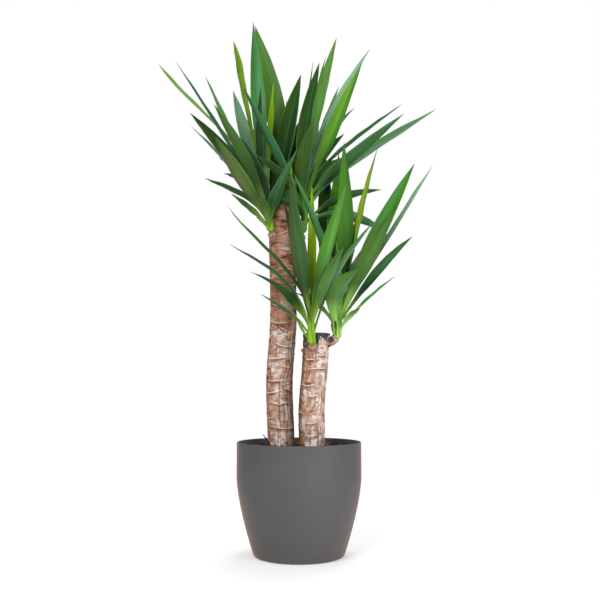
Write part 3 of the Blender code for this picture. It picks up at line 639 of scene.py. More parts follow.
class Cane:
    """A length of trunk: its sighted centres from the soil up, radius, foot and top height,
    the height young_from which its bark is young and red, and dark_side, the
    bearing in degrees of the other cane, toward which painted shade darkens the bark."""

    def __init__(self, name, centres, radius, foot, top, seed, scars, young_from, dark_side):
        self.name, self.radius, self.foot, self.top, self.seed = name, radius, foot, top, seed
        self.scars, self.young_from, self.dark_side = scars, young_from, math.radians(dark_side)
        self.centres = np.array([sighted(*centre) for centre in centres])

    def path(self, heights):
        """The centres at heights: upright in the soil, then through the sighted centres."""
        start = SOIL_LEVEL + 9 * MM
        return through(self.centres, (np.maximum(heights, start) - start) / (self.top - start))

    def scar_lines(self):
        """Each scar as three bearings in degrees and its heights there in mm: those sighted
        on the front, then seeded ones on the far side."""
        nearer = 1 - (self.radius - self.centres[0, 1]) / EYE_DISTANCE
        for scar in self.scars:
            bearings, up = np.reshape(scar, (2, 3))
            yield bearings, 10 * (EYE_HEIGHT / CM + (up - EYE_HEIGHT / CM) * nearer)
        rng = np.random.default_rng(self.seed)
        for start in np.arange(SOIL_LEVEL * 100 + 1, self.top * 100 - 1, SCAR_STEP):
            middle, wide = rng.uniform(20, 160), rng.uniform(25, 70)
            rises = 10 * (start + rng.uniform(-0.8, 0.8)) + rng.uniform(-3, 3, 3)
            yield middle + wide * np.array([-1, 0, 1]), rises

    def bark(self, angles, heights):
        """Relief in millimetres and the values plate, scar, pale, young and tone, on a grid
        of heights by angles.

        Cork plates stand in upright columns that wander, each parted across about once in a
        plate's height. A crack fades with the distance to its plate's border, by a strength
        that comes and goes, with a brown halo of fibres beside it. A scar is a bell across a
        parabola through its three places, over a groove and a brown strip, both darkened with
        painted shade. Painted light pales the bark on the front right, and painted shade
        darkens it on the side toward the other cane.
        """
        angle, height = np.meshgrid(angles, heights)
        turn, up = angle / TAU, height * 1000

        def noise(count, y, key):
            """Noise with count cells round the cane, at y cells up."""
            return cells(turn * count, y, self.seed + key, count)

        def by_column(x, y, key):
            """Noise on the columns' numbers, at y cells up."""
            return cells(x, y, self.seed + key, COLUMNS)

        young = smooth_step((height - self.young_from) / 0.05 + 1.2 * (noise(5, up / 30, 0) - 0.5))
        sway = 1.3 * (noise(6, up / 34, 1) - 0.5)
        here = smooth_step(2.2 * noise(8, up / 15, 12) - 0.55)
        stand = turn * COLUMNS + 1.1 * sway + 0.22 * (noise(56, up / 5, 2) - 0.5)
        column, aside = np.floor(stand) % COLUMNS, stand - np.floor(stand)
        skew = 0.3 * (aside - 0.5) * (by_column(column, up / 9, 0) - 0.5)
        stack = up / PLATE_HIGH + 9 * by_column(column, 0.5, 3)
        stack = stack + 0.6 * by_column(column, up / 20, 14) + 0.12 * noise(48, up / 6, 9) + skew
        storey, level = np.floor(stack), stack - np.floor(stack)
        beside = PLATE_WIDE * np.minimum(aside, 1 - aside)
        above = PLATE_HIGH * np.minimum(level, 1 - level)
        upright = smooth_step(3.2 * by_column(np.round(stand) % COLUMNS, up / 34, 5) - 1.2)
        across = smooth_step(3.0 * by_column(column, np.round(stack), 13) - 1.3)
        halo = np.maximum(held(1 - beside / 3.0) * upright, held(1 - above / 3.4) * across)
        core = np.maximum(held(1.25 - beside / 0.9) * upright, held(1.25 - above / 0.9) * across)
        wrinkles = creases(turn * 4 + sway, up / 5.5 + 2.2 * sway, self.seed + 4, 4, 0.14)
        wrinkles = wrinkles * (0.3 + 0.7 * here)
        cracks = core * (1 - 0.75 * young)
        lumps = noise(7, up / 14, 17) - 0.5
        nubs = held(noise(40, up / 3.2, 15) - 0.72) * 3
        tone = 0.3 * by_column(column, storey, 8) + 0.4 * noise(14, up / 12, 18)
        tone = tone + 0.3 * noise(34, up / 5, 20)

        scar, groove, band = np.zeros((3, *up.shape))
        for bearings, rises in self.scar_lines():
            middle, wide = bearings.mean(), np.ptp(bearings) / 2
            off = (np.degrees(angle) - middle + 180) % 360 - 180
            parabola = np.polyfit(bearings - middle, rises, 2)
            line = np.polyval(parabola, np.clip(off, -1.2 * wide, 1.2 * wide))
            over = up - (line + noise(26, rises[1], 6) - 0.5)
            fade = held(1.25 - np.abs(off) / wide) ** 0.6
            fade = held(fade * (0.6 + 0.7 * noise(19, rises[0], 16)))
            thin = 0.75 + 0.45 * noise(11, rises[2], 7)
            scar = np.maximum(scar, bell(over / thin) * fade)
            # Under each scar: a groove in the relief, darkened by painted shade, and a brown strip
            # of painted shade below it
            groove = np.maximum(groove, bell(over + 2.0) * fade)
            band = np.maximum(band, bell((over + 4.2) / 2.6) * fade)
        scar *= 1 - 0.25 * young

        relief = 0.8 * lumps - 0.9 * cracks - 0.5 * wrinkles + 1.1 * scar - 0.7 * groove
        relief = relief + nubs + 0.4 * (tone - 0.5)
        # Painted shade: the bark darkens on the side that faces the other cane
        shaded = smooth_step((np.cos(angle - self.dark_side) - 0.70) / 0.28)
        dirt = smooth_step(3.4 * noise(12, up / 11, 21) - 2.0)
        # plate darkens cracks and wrinkles, and paints shade in the groove under each scar
        plate = 1 - held(0.8 * cracks + 0.7 * groove + (0.3 + 0.4 * young) * wrinkles)
        # The plates darken by painted shade toward the other cane and under the scars; dirt is
        # random
        plate = plate * (1 - 0.7 * shaded) * (1 - 0.42 * dirt) * (1 - 0.25 * band)
        # Painted light: the bark turns paler toward the front right
        facing = 0.5 + 0.5 * np.cos(angle - PALE_SIDE)
        patches = noise(7, up / 19, 19) - 0.5
        pale = held(2.1 * facing - 1.15 + 1.3 * patches + 1.6 * (tone - 0.5))
        # Painted shade under the scars keeps the plates from paling there; the brown halo beside
        # cracks does too
        pale = pale * (1 - 0.55 * halo) * (1 - 0.7 * band)
        # Patches of young red bark give way to cork only on the side of painted light
        worn = smooth_step(3.2 * noise(6, up / 22, 11) - 2.0) * smooth_step(3 * facing - 2.2)
        young = young * (1 - 0.8 * worn)
        return relief, {"plate": plate, "scar": scar, "pale": pale, "young": young, "tone": tone}

    def build(self, material):
        """The cane: rings 0.95 mm apart above the soil, moved in and out by its relief."""
        angles = around(CANE_SIDES)
        seen = np.arange(SOIL_LEVEL - 0.008, self.top - 0.0005, RING_STEP)
        heights = np.concatenate([[self.foot, (self.foot + seen[0]) / 2], seen, [self.top]])
        relief, values = self.bark(angles, heights)
        relief = relief * smooth_step((self.top - heights) / 0.006)[:, None]
        x, y = self.path(heights)[:, :2].T[..., None]
        radius = self.radius + MM * (relief + BARK_PROUD)
        rings = level_rings(x, y, radius, angles, heights[:, None])
        piece(self.name + "_bark", [closed(rings, **values)], material, [self.name])

    def seal(self, material, runs):
        """Wax over the sawn top: a skirt that ends in runs, and a low dome with a soft edge.

        runs are (bearing in degrees, length of the skirt in mm), joined by straight lines.
        """
        angles = around(WAX_SIDES)
        turn, under, outer = angles / TAU, self.top + GAP, self.radius + WAX_PROUD
        reach = np.interp(np.degrees(angles), *np.array(runs, float).T, period=360)
        reach = np.maximum(reach + 2.2 * (cells(turn * 15, 0.5, self.seed + 9, 15) - 0.5), 1.2)
        down = 1 - np.linspace(0, 1, 26)[:, None]
        swell = 0.5 * bell((0.88 - down) / 0.12) - 0.9 * bell((1 - down) / 0.05)
        inward = np.linspace(0, 1, 20)[1:, None]
        edge = 2.2 * MM * (1 - np.cos(held(5 * inward) * math.pi / 2))
        shelf = (outer - 3.4 * MM) * np.maximum(inward - 0.2, 0) / 0.8
        dome = under + WAX_DOME * np.sin(inward * math.pi / 2)
        radius = np.vstack([outer + MM * swell, outer - edge - shelf])
        height = np.vstack([under - down * reach * MM, dome + 0 * angles])
        rough = 1.1 * (cells(turn * 22, height * 260, self.seed + 10, 22) - 0.5)
        rough = rough + 0.5 * (cells(turn * 60, height * 600, self.seed + 11, 60) - 0.5)
        radius = radius + MM * np.where(height < under, rough, 0.3 * rough)
        height = height + MM * np.where(height >= under, 0.8 * rough, 0)
        radius = np.vstack([0 * angles + self.radius - 0.8 * MM, radius])
        height = np.vstack([height[0] + 0.8 * MM, height])
        x, y = self.path(np.array([self.top]))[0, :2]
        rings = level_rings(x, y, radius, angles, height)
        piece(self.name + "_wax", [closed(rings)], material, [self.name + "_seal"])


TALL = Cane(
    "tall_cane",
    [(-3.6, 22.2, -3), (-3.97, 34.5, -3), (-3.2, 47, -3), (-3.4, 60, -3), (-3.6, 72, -3)],
    2.66 * CM, 0.125, 0.72, 3, TALL_SCARS, 0.468, 0,
)
SHORT = Cane(
    "short_cane",
    [(2.6, 22.2, 2), (2.57, 28.4, 2), (3.2, 36.5, 2), (3.6, 44, 2)],
    2.52 * CM, 0.135, 0.440, 8, SHORT_SCARS, 0.60, 180,
)

# The swellings under the shoots, a bud's collar and a knot: three sighted places, the radius
# in cm at each, and how pale the bark is
STUBS = (
    (((-4.7, 63.2, -1.6), (-5.4, 64.3, -0.7), (-5.75, 65.2, -0.15)), (0.95, 0.9, 0.8), 0.7),
    (((-3.4, 65.4, -4.4), (-3.4, 67.0, -6.2), (-3.4, 68.4, -6.9)), (1.3, 1.25, 1.05), 0.7),
    (((-2.6, 60.6, -3.2), (-0.3, 63.0, -3.4), (0.75, 64.9, -3.5)), (1.3, 1.15, 0.95), 0.7),
    (((3.0, 41.0, 3.8), (2.85, 41.55, 5.0), (2.75, 42.0, 5.6)), (0.8, 0.85, 0.8), 0.2),
    (((4.9, 42.0, 2.2), (6.6, 42.55, 2.3), (7.75, 43.6, 2.6)), (0.95, 0.88, 0.85), 0.7),
    (((5.7, 41.9, 3.0), (5.85, 42.9, 3.3), (6.1, 43.8, 3.0)), (0.45, 0.55, 0.4), 0.3),
    (((1.5, 40.5, 1.5), (0.85, 40.7, 1.5), (0.4, 41.0, 1.5)), (0.55, 0.4, 0.2), 0.0),
)


def swellings(material):
    """The bark swellings that carry the shoots: rings square to a path, wrinkled round, with
    a rolled collar where the shoot breaks out and a round end under it."""
    parts = []
    t = np.linspace(0, 1, 40)
    turn, up = around(64) / TAU, 30 * t[:, None]
    c, s = np.cos(around(64))[:, None], np.sin(around(64))[:, None]
    end = np.sqrt(np.clip(1 - ((t - 0.82) / 0.19) ** 2 * (t > 0.82), 0.02, 1))
    collar = bell((t - 0.80) / 0.10)[:, None]
    for count, (places, radii, paleness) in enumerate(STUBS):
        path = through([sighted(*place) for place in places], t)
        along = unit(np.gradient(path, axis=0))
        across = unit(np.cross(along, [0, 1.0, 0]))
        upward = np.cross(along, across)
        wide = (np.interp(t, [0, 0.5, 1], radii) * CM * end)[:, None]
        folds = creases(turn * 6, up / 2.6, 40 + count, 6, 0.4)
        cracks = creases(turn * 20, up / 9, 50 + count, 20, 0.2)
        lumps = cells(turn * 6, up / 8, 60 + count, 6) - 0.5
        relief = -0.5 * folds - 0.4 * cracks + 0.6 * collar + 0.9 * lumps
        radius = (wide + MM * relief * (wide > 0.004))[..., None]
        rings = path[:, None] + radius * (across[:, None] * c - upward[:, None] * s)
        parts.append(closed(
            rings, plate=1 - 0.45 * held(folds + cracks), scar=0.25 * collar, pale=paleness,
            young=0.7, tone=0.5,
        ))
    piece("shoot_swellings", parts, material)


def bud_scar(material):
    """A dead bud's scar, dark with wax, on the short cane's right swelling: a raised ring
    round a pit with a small stump in it, facing the front, and a drip of wax below. Its
    outline, in mm, is turned about the direction that it faces."""
    profile = [
        (0.4, -4.0), (5.8, -3.6), (6.2, -1.0), (5.7, 0.8), (4.6, 1.6), (3.6, 1.0), (3.0, -1.6),
        (2.4, -1.9), (1.9, -0.2), (1.1, 0.7), (0.3, 0.9),
    ]
    t = np.linspace(0, 1, 44)
    rough = 0.9 * (cells(around(48) / TAU * 9, 8 * t[:, None], 71, 9) - 0.5)
    knocks = rough[..., None]
    rows = turned(through(profile, t), 48) * (1 + 0.12 * knocks) + 0.5 * knocks * [0, 0, 1.0]
    rings = sighted(6.5, 42.95, 3.8) + MM * rows[..., [0, 2, 1]] * [1, -1, 1]
    # Painted highlight: a paler ring over the top and inner slope of the raised ring, with a little
    # random wear
    worn = 0.26 * bell((t - 0.52) / 0.13)[:, None] + 0.08 * rough
    rise = np.linspace(-0.98, 0.98, 20)[:, None]
    ball = level_rings(0, 0, np.sqrt(1 - rise**2), around(48), rise)
    drip = sighted(6.1, 41.75, 2.9) + MM * ball * [2.6, 2.0, 4.0] * (1 + 0.25 * knocks[:20])
    parts = [closed(rings, worn=worn), closed(drip, worn=0.04 * rough[:20])]
    piece("bud_scar", parts, material)


# Leaves

# Each hue is the colour of the blade's left half and of its right half, as the eye sees it:
# the leaf's own colour with painted light, shade and reflection on the two sides of its fold
HUES = {
    "lime": "#7aa606 #8cb81a", "grass": "#3c8006 #52981a", "bright": "#4a8a1e #5e9a3c",
    "mid": "#3e761a #3a7632", "deep": "#427c06 #387410", "dark": "#305816 #265628",
    "olive": "#4a6a18 #3a6a2a", "khaki": "#6e7838 #5c7634", "teal": "#2c6630 #34724e",
    # The near-black hue on the next line is painted shade, for leaves deep in the crown
    "silver": "#568c52 #78a888", "fresh": "#50802a #548648", "depth": "#14280a #122c0c",
    "spring": "#98b42c #78b44a", "gold": "#98c200 #a2ca04", "night": "#28543a #2e6046",
    "shade": "#244c0c #1e4816", "blue": "#40803e #509056", "sheath": "#3c5a1c #2a460f",
    "herb": "#5a8c1c #64962c", "fern": "#42803c #48861a", "leafy": "#5a9608 #4a8810",
    "laurel": "#48542a #2e5828", "ivy": "#3e7444 #34702c", "moss": "#4a7420 #4e7a34",
    "pine": "#2e5c2c #306440", "bud": "#6c8c14 #78981c", "clear": "#569034 #6aa050",
    "mist": "#98cc9e #b6dcbe",
}
# Hues of leaves deep in a shoot, which are dull and have no young base; the two darkest
# are painted shade: near-black leaves put where the crown is deep in shadow
DEEP = ("depth", "shade", "sheath")
TIP = linear("#5a4a2c")


def leaning(bearing, lean):
    """The direction that leans from upright toward a bearing, counted from +Y to +X."""
    out = math.sin(lean)
    return np.array([out * math.sin(bearing), out * math.cos(bearing), math.cos(lean)])


def leaf_width(t, widest, power):
    """Width share along a sword leaf: waisted at the base, full at widest, and pointed."""
    rise = LEAF_BASE + (1 - LEAF_BASE) * np.sin(held(t / widest) * math.pi / 2) ** 3
    fall = 1 - held((t - widest) / (1 - widest)) ** power
    return np.maximum(rise * fall, LEAF_TIP * (1 - 0.8 * t))


def leaf_frame(root, via, tip, shown, straightness, t):
    """Midline points, across vectors, upper-face normals and full width of a leaf.

    The midline is a Bezier curve that leaves the root along the stem and passes via halfway.
    The blade lies level across its bearing, and turns about its midline, over its first
    part, until its width shows as sighted.
    """
    reach = np.linalg.norm(via - root) + np.linalg.norm(tip - via)
    bowed = tip + (2 * via - (root + tip) / 2 - tip) * 2 / 3
    straight = via + (tip - via) * VIA_PULL
    second = bowed + (straight - bowed) * straightness
    first = (8 * via - root - 3 * second - tip) / 3
    controls = np.array([root, first, second, tip])
    points = bezier(controls, t)
    along = unit(bezier(controls, t + 0.001) - bezier(controls, t - 0.001))
    bearing = tip - root
    level = unit(np.array([-bearing[1], bearing[0], 0.0]))
    natural = unit(level - along * (along @ level)[:, None])
    width = np.clip(WIDTH_TO_LENGTH * reach, NARROWEST, WIDEST)
    across = natural
    if shown is not None:
        width = np.clip(width, SPARE_WIDTH * shown, MOST_TURNED * shown)
        sight = unit(np.array([0, -EYE_DISTANCE, EYE_HEIGHT]) - points)
        beside = unit(np.cross(along, sight))
        turn = math.acos(min(shown / width, 1))
        level, steep = beside * math.cos(turn), np.cross(beside, along) * math.sin(turn)
        options = [level + steep, level - steep, -level - steep, steep - level]
        blade = max(options, key=lambda option: np.sum(option * natural))
        blend = (BASE_TURN + (1 - BASE_TURN) * smooth_step(t / TWIST_BY))[:, None]
        across = unit(natural * (1 - blend) + blade * blend)
        across = unit(across - along * np.sum(across * along, -1, keepdims=True))
    normal = np.cross(across, along)
    inward = normal @ (np.array([0, 0, 1.0]) - 0.5 * unit(bearing))
    return points, across, normal * (1 if inward.mean() > 0 else -1), width


def leaf(line, form, hue, sap, seed):
    """A blade on a grid of t along and v across, -1 to 1, closed over its lower face.

    Point = midline + across * half * cos(fold) * v + normal * half * sin(fold) * |v|^1.35,
    with a fold that is deep where the base clasps the stem, and low waves that grow toward
    the margins. The lower face lies below by a thickness that thins out to the margins.
    """
    rng = np.random.default_rng(seed)
    t = np.linspace(0, 1, LEAF_ROWS) ** 0.94
    points, across, normal, width = leaf_frame(*line, t)
    length = np.linalg.norm(np.diff(points, axis=0), axis=1).sum()
    half = (0.5 * width * leaf_width(t, *form))[:, None]
    fold = np.radians(np.interp(t, [0, 0.10, 0.30, 0.6, 1], [52, 36, 20, 17, 26]))[:, None]
    v = np.linspace(-1, 1, LEAF_SPAN)
    waves = np.sin(TAU * (t * rng.uniform(3, 6) + rng.random()))
    waves = (waves * smooth_step(t / 0.3) * smooth_step((1 - t) / 0.15))[:, None]
    odd = np.sign(v + 1e-9 * rng.choice([-1, 1])) ** rng.integers(0, 2)
    rise = half * np.sin(fold) * np.abs(v) ** 1.35 + RIPPLE * waves * np.abs(v) ** 3 * odd
    upper = points[:, None] + across[:, None] * (half * np.cos(fold) * v)[..., None]
    upper = upper + normal[:, None] * rise[..., None]
    thick = LEAF_THICKNESS * (1 - np.abs(v) ** 2.5) * (0.35 + 0.9 * (1 - t[:, None]) ** 0.7)
    lower = (upper - normal[:, None] * thick[..., None])[:, -2:0:-1]
    sides = np.concatenate([v, v[-2:0:-1]])

    # The halves' colours hold painted light, shade and reflection on the fold's two sides
    left, right = (linear(code) for code in HUES[hue].split())
    if across[:, 0].mean() < 0:
        left, right = right, left
    body = left + (right - left) * smooth_step(0.5 + 0.8 * sides)[:, None]
    body = body * rng.uniform(0.92, 1.08)
    drift = 1 + 0.14 * np.sin(TAU * (0.8 * t + rng.random()))
    young = 1 - smooth_step((t * length / CM - 1.5) / 6.0)
    gloss = 1 - 0.75 * bell((t - 0.2) / 0.22)
    if hue in DEEP:
        young, gloss = young * 0, gloss * 0.15
    # Painted shade darkens each blade inside the crown, most a quarter of the way along; drift is
    # random
    shade = (drift * (1 - SHELTER * bell((t - 0.25) / 0.18)) * (1 - young))[:, None, None]
    tint = body * shade + (0.85 * sap + 0.15 * body) * young[:, None, None]
    dry = smooth_step((t - 0.965) / 0.03)[:, None, None]
    place = half / MM * sides + 60 * seed, (t * length / MM)[:, None]
    uv = np.stack(np.broadcast_arrays(*place), -1)
    handed = np.sum(np.cross(across, normal) * (points[-1] - points[0]), -1).mean() > 0
    return closed(
        np.concatenate([upper, lower], 1), flip=handed, tint=tint * (1 - dry) + TIP * dry,
        side=sides, under=np.arange(len(sides)) >= LEAF_SPAN, gloss=gloss[:, None], uv=uv,
    )


class Shoot:
    """A leafy side shoot: a short green stem on its swelling, and the leaves rooted up it.

    The stem has four sighted places, the radius in cm at each, and a colour for the stem
    and the leaves' young bases: their own green with painted light and shade, darker for
    the shoots under the crown. back gives the leaves on the far side: how many, their
    length in cm, and the middle and half spread of their bearings in degrees.
    """

    def __init__(self, name, places, radii, sap, seed, back, *leaves):
        # The shoot's colour holds painted light and shade: darker for shoots under the crown
        self.name, self.radii, self.sap, self.seed = name, radii, linear(sap), seed
        self.back, self.leaves = back, leaves
        self.stem = np.array([sighted(*place) for place in places])
        self.stem[0, 2] += GAP

    def radius(self, share):
        """The stem's radius at a share of its length."""
        return CM * np.interp(share, np.linspace(0, 1, 4), self.radii)

    def root(self, share, bearing):
        """Where a leaf starts: inside the stem, at a share of its length, off its centre."""
        centre = through(self.stem, np.array([share]))[0]
        return centre + ROOT_OFFSET * self.radius(share) * leaning(bearing, math.pi / 2)

    def leaf_lines(self):
        """Every leaf as ((root, via, tip, shown width or None, straightness), its form, hue)."""
        for hue, share, *numbers in self.leaves:
            via, tip = sighted(*numbers[:3]), sighted(*numbers[3:6])
            shown, *form = numbers[6:]
            form = (*form, *USUAL_FORM[len(form):])
            ahead = tip - self.stem[0]
            root = self.root(share, math.atan2(ahead[0], ahead[1]))
            yield (root, via, tip, shown * CM, form[0]), form[1:], hue
        count, reach, middle, spread = self.back
        rng = np.random.default_rng(self.seed)
        for k in range(count):
            share = LOWEST_BACK + (HIGHEST_BACK - LOWEST_BACK) * (k + 0.5) / count
            turn = (k * GOLDEN_TURN) % 1
            bearing = math.radians(middle + spread * (2 * turn - 1) + rng.uniform(-6, 6))
            lean = math.radians(LOW_LEAN + (HIGH_LEAN - LOW_LEAN) * share + rng.uniform(-5, 5))
            length = reach * CM * rng.uniform(0.86, 1.0)
            root = self.root(share, bearing)
            via = root + 0.52 * length * leaning(bearing, 0.8 * lean)
            tip = root + length * leaning(bearing, lean)
            yield (root, via, tip, None, USUAL_FORM[0]), USUAL_FORM[1:], "dark"

    def green_stem(self):
        """The stem, wrapped in clasping leaf bases: rings whose radius has four lobes that
        wind slowly up, each lobe 1.5 mm proud of the grooves, and a rounded foot. Painted shade
        darkens the grooves and the stem toward its top, and a painted highlight pales the
        lobes' crests."""
        t = np.linspace(0, 1, 30)[:, None]
        angles = around(28)
        wind = np.abs(np.sin(2 * angles + 2.2 * t + self.seed))
        lobes = 1.5 * MM * (wind**0.6 - 0.9)
        steps = 0.5 * MM * np.sin(t * 26)
        foot = np.sqrt(np.clip(1 - (1 - t / 0.09) ** 2 * (t < 0.09), 0.2, 1))
        radius = (0.94 * self.radius(t) + lobes + steps) * foot
        x, y, z = through(self.stem, t[:, 0]).T[..., None]
        # Painted shade in the grooves and toward the top; painted highlight on the crests
        tint = self.sap * ((0.5 + 0.75 * wind**0.8) * (1.15 - 0.45 * t))[..., None]
        uv = np.stack(np.broadcast_arrays(angles * 9, 100 * t), -1)
        rings = level_rings(x, y, radius, angles, z)
        return closed(rings, tint=tint, side=0.5, under=0, gloss=0.6, uv=uv)

    def build(self, material):
        """The stem and all its leaves as one mesh."""
        parts = [self.green_stem()]
        for count, (line, form, hue) in enumerate(self.leaf_lines()):
            parts.append(leaf(line, form, hue, self.sap, self.seed * 100 + count))
        piece(self.name + "_leaves", parts, material, [self.name])


# A leaf is a hue, its root's share of the stem, the place halfway along and that of the tip,
# the width that shows in cm, and as much of its form as differs from the usual one
TALL_LEFT = Shoot(
    "tall_left_shoot",
    [(-5.85, 65.2, -0.1), (-6.15, 68.2, -0.1), (-6.35, 71.5, -0.1), (-6.4, 75.0, -0.1)],
    (0.95, 0.85, 0.65, 0.3), "#8cb83c", 79, (3, 29, -28, 8),
    ("herb", 0.6, -18.3, 88.7, -3, -29.6, 101, -6, 0.75, 2.8, 0.8, 2.6),
    ("night", 0.55, -15.9, 85.5, -1, -26.1, 101.7, -2, 0.8, 0.72),
    ("mid", 0.62, -14.3, 85.6, -6, -19.8, 98.5, -12, 1.2),
    ("olive", 0.45, -11.5, 81.1, 6, -17.9, 92.4, 13, 2.4),
    ("dark", 0.52, -14.4, 80.9, -5, -22.9, 90.5, -12, 2.8),
    ("night", 0.35, -14.6, 79, -7, -22.6, 87.6, -15, 0.8),
    ("khaki", 0.25, -11.9, 76.2, 9, -17.5, 85.3, 18, 2.8),
    ("night", 0.3, -10.8, 76, -6, -17, 81, -14, 1),
    ("night", 0.22, -11.2, 75.2, -7, -15.7, 77.5, -15, 1.4, 0.5),
    ("dark", 0.15, -12.6, 73.3, 1, -19.7, 76.6, 1, 1.2, 1.4),
    ("dark", 0.1, -10, 69.8, 2, -14.2, 73.3, 4, 1.25, 0.88),
    ("bud", 0.04, -7.7, 67.3, 0.6, -8.9, 68.3, 1.2, 0.7),
    ("lime", 0.8, -11.7, 94, -4, -13.9, 106, -6, 1.5, 1, 0.7, 2.6),
    ("silver", 0.7, -10.9, 84.5, -8, -13.9, 95.3, -15, 2.9),
    ("blue", 0.9, -8.6, 91.5, -1, -9.7, 110.2, -3, 3.3),
    ("depth", 0.75, -8.4, 84, 1, -8.1, 96.2, 3, 1.6),
    ("lime", 0.97, -5.9, 86, -0.2, -5.3, 97.4, -0.2, 1.3),
    ("ivy", 0.12, -4.3, 73.9, 7, 0, 83.3, 15, 2.7, 0.7, 0.42, 0.95),
    ("olive", 0.08, -7, 69.6, 5, -8, 73.4, 9, 2),
    ("shade", 0.37, -6.3, 78.5, -2.4, -5.5, 87, -2.6, 2.4),
    ("depth", 0.25, -8.2, 76.6, 2, -12.2, 85.2, 3, 2.6),
    ("depth", 0.18, -4.2, 72.4, 1.6, -2.6, 76.5, 3, 2.6),
    ("depth", 0.3, -5.6, 75, -1.2, -4.4, 82, -2.5, 2.2),
)
TALL_BACK = Shoot(
    "tall_back_shoot",
    [(-3.4, 68.4, -6.9), (-3.4, 71.5, -6.9), (-3.4, 74.5, -6.9), (-3.3, 78.0, -6.8)],
    (0.95, 0.85, 0.65, 0.3), "#5c8a30", 31, (6, 29, 2, 45),
    ("moss", 0.55, -5.3, 91.5, -9, -9.3, 109.3, -12, 4.8),
    ("dark", 0.6, -2.6, 85.5, -6, 0.4, 98.8, -9, 3.9),
    ("dark", 0.95, -3.2, 85, -7.5, -2.5, 93.2, -8, 1.5),
    ("dark", 0.4, -1.4, 81.5, -9, 1.5, 91, -14, 2.4),
    ("dark", 0.45, -6.4, 82, -6, -8.4, 90.5, -9, 2.4),
    ("dark", 0.25, -2.4, 77, -8, -1.6, 85, -11, 3),
    ("fresh", 0.15, -1.6, 73, -5, -0.4, 77, -4, 2.6),
)
TALL_RIGHT = Shoot(
    "tall_right_shoot",
    [(0.75, 64.9, -3.5), (1.15, 68.0, -3.5), (1.2, 71.5, -3.5), (1.5, 75.5, -3.5)],
    (0.9, 0.85, 0.65, 0.3), "#5a9232", 97, (4, 28, 17, 40),
    ("mid", 0.7, 1.5, 85.5, -9, 2.95, 101.6, -15, 0.9),
    ("dark", 0.8, 1.3, 87, -6, 4.3, 101.4, -10, 3.3),
    ("clear", 0.95, 4.55, 93.5, -3.5, 7.95, 106.8, -4, 2.3),
    ("bright", 0.75, 2.9, 88, -8, 5.6, 102.6, -14, 1.3),
    ("mist", 0.72, 6.7, 89.2, -7, 14.9, 104.3, -13, 2.1),
    ("leafy", 0.65, 6.9, 86.2, -1, 13.3, 101.3, 2, 2.8),
    ("silver", 0.55, 4.6, 84, -9, 8.4, 96.3, -16, 1.9),
    ("silver", 0.5, 4.5, 82.8, -9, 11.7, 91.6, -16, 1.6),
    ("olive", 0.35, 1, 80, 3, 3.2, 89.1, 11, 2.8),
    ("teal", 0.45, -4.9, 82, 4, -12.1, 96.7, 8, 1.9),
    ("dark", 0.3, -3.6, 77, 5, -8.8, 81.2, 12, 1.9),
    ("ivy", 0.92, 10.4, 83.6, -1, 21.7, 92.4, 2, 0.9, 1.1),
    ("ivy", 0.68, 10.8, 80.8, 0, 22, 90.3, 2, 2.6, 0.9, 0.42),
    ("silver", 0.38, 13, 81.1, -3, 28.8, 91.3, -5, 2, 1.3),
    ("dark", 0.18, 9, 72.4, -4.2, 17.2, 74.1, -8, 1.9),
    ("silver", 0.26, 10.4, 68.5, -4, 18, 65.2, -6, 2.3),
    ("dark", 0.42, 3.4, 79, -6, 9.5, 86, -9, 2.6),
    ("clear", 0.32, 4.4, 77.2, -7, 9.8, 81, -10, 2.2),
    ("mid", 0.36, 0.2, 79, -7, -0.8, 87, -9, 2.6),
    ("shade", 0.28, -0.5, 75.5, -6, -1.9, 84, -8, 2.8),
    ("shade", 0.24, -0.9, 70.6, 0, -4, 72.3, 1.2, 2),
    ("bud", 0.3, -1.75, 76, 2.5, -1.65, 80.2, 2.5, 0.7),
    ("mist", 0.6, 2.2, 81, -10, 4.2, 90, -14, 3),
    ("deep", 0.22, 3.2, 73.6, -6, 7.2, 77.2, -9, 2),
)
SHORT_LEFT = Shoot(
    "short_left_shoot",
    [(2.55, 42.0, 5.7), (2.5, 44.5, 5.7), (2.5, 47.0, 5.6), (2.6, 50.5, 5.4)],
    (0.95, 0.9, 0.7, 0.3), "#86b028", 87, (3, 27, 22, 30),
    ("mid", 0.45, -4.4, 59.1, 5, -14.7, 70.6, 3, 0.7, 2.2),
    ("night", 0.35, -4.7, 56.4, 8, -14.3, 62.7, 9, 0.7, 1.2),
    ("dark", 0.4, -2.9, 52.7, 3.5, -10.4, 57, 0, 2.5, 0.25, 0.38, 0.6),
    ("pine", 0.2, -2.1, 48.3, 7, -7.9, 52.3, 8, 0.8, 1),
    ("mid", 0.1, 0.3, 45.4, 6.3, -0.5, 47.4, 6.5, 0.6),
    ("laurel", 0.75, -0.1, 60.3, 8.5, -1.9, 75.9, 10, 3.4),
    ("gold", 0.97, 2.75, 61, 3.2, 2.7, 75.3, 0.6, 1.9),
    ("bright", 0.85, 5.6, 61, 8, 10.1, 76, 10, 2.7),
    ("fresh", 0.43, 5.5, 54.6, 11, 9.4, 62.4, 17, 2.3),
    ("silver", 0.17, 8.6, 57.8, 5.2, 15.5, 67.3, 5, 1.2),
    ("olive", 0.55, 3.9, 52.5, 8, 5.9, 58.7, 11, 1.2),
    ("depth", 0.62, -0.2, 58.5, 6.5, -3.4, 72.8, 7, 1.7),
)
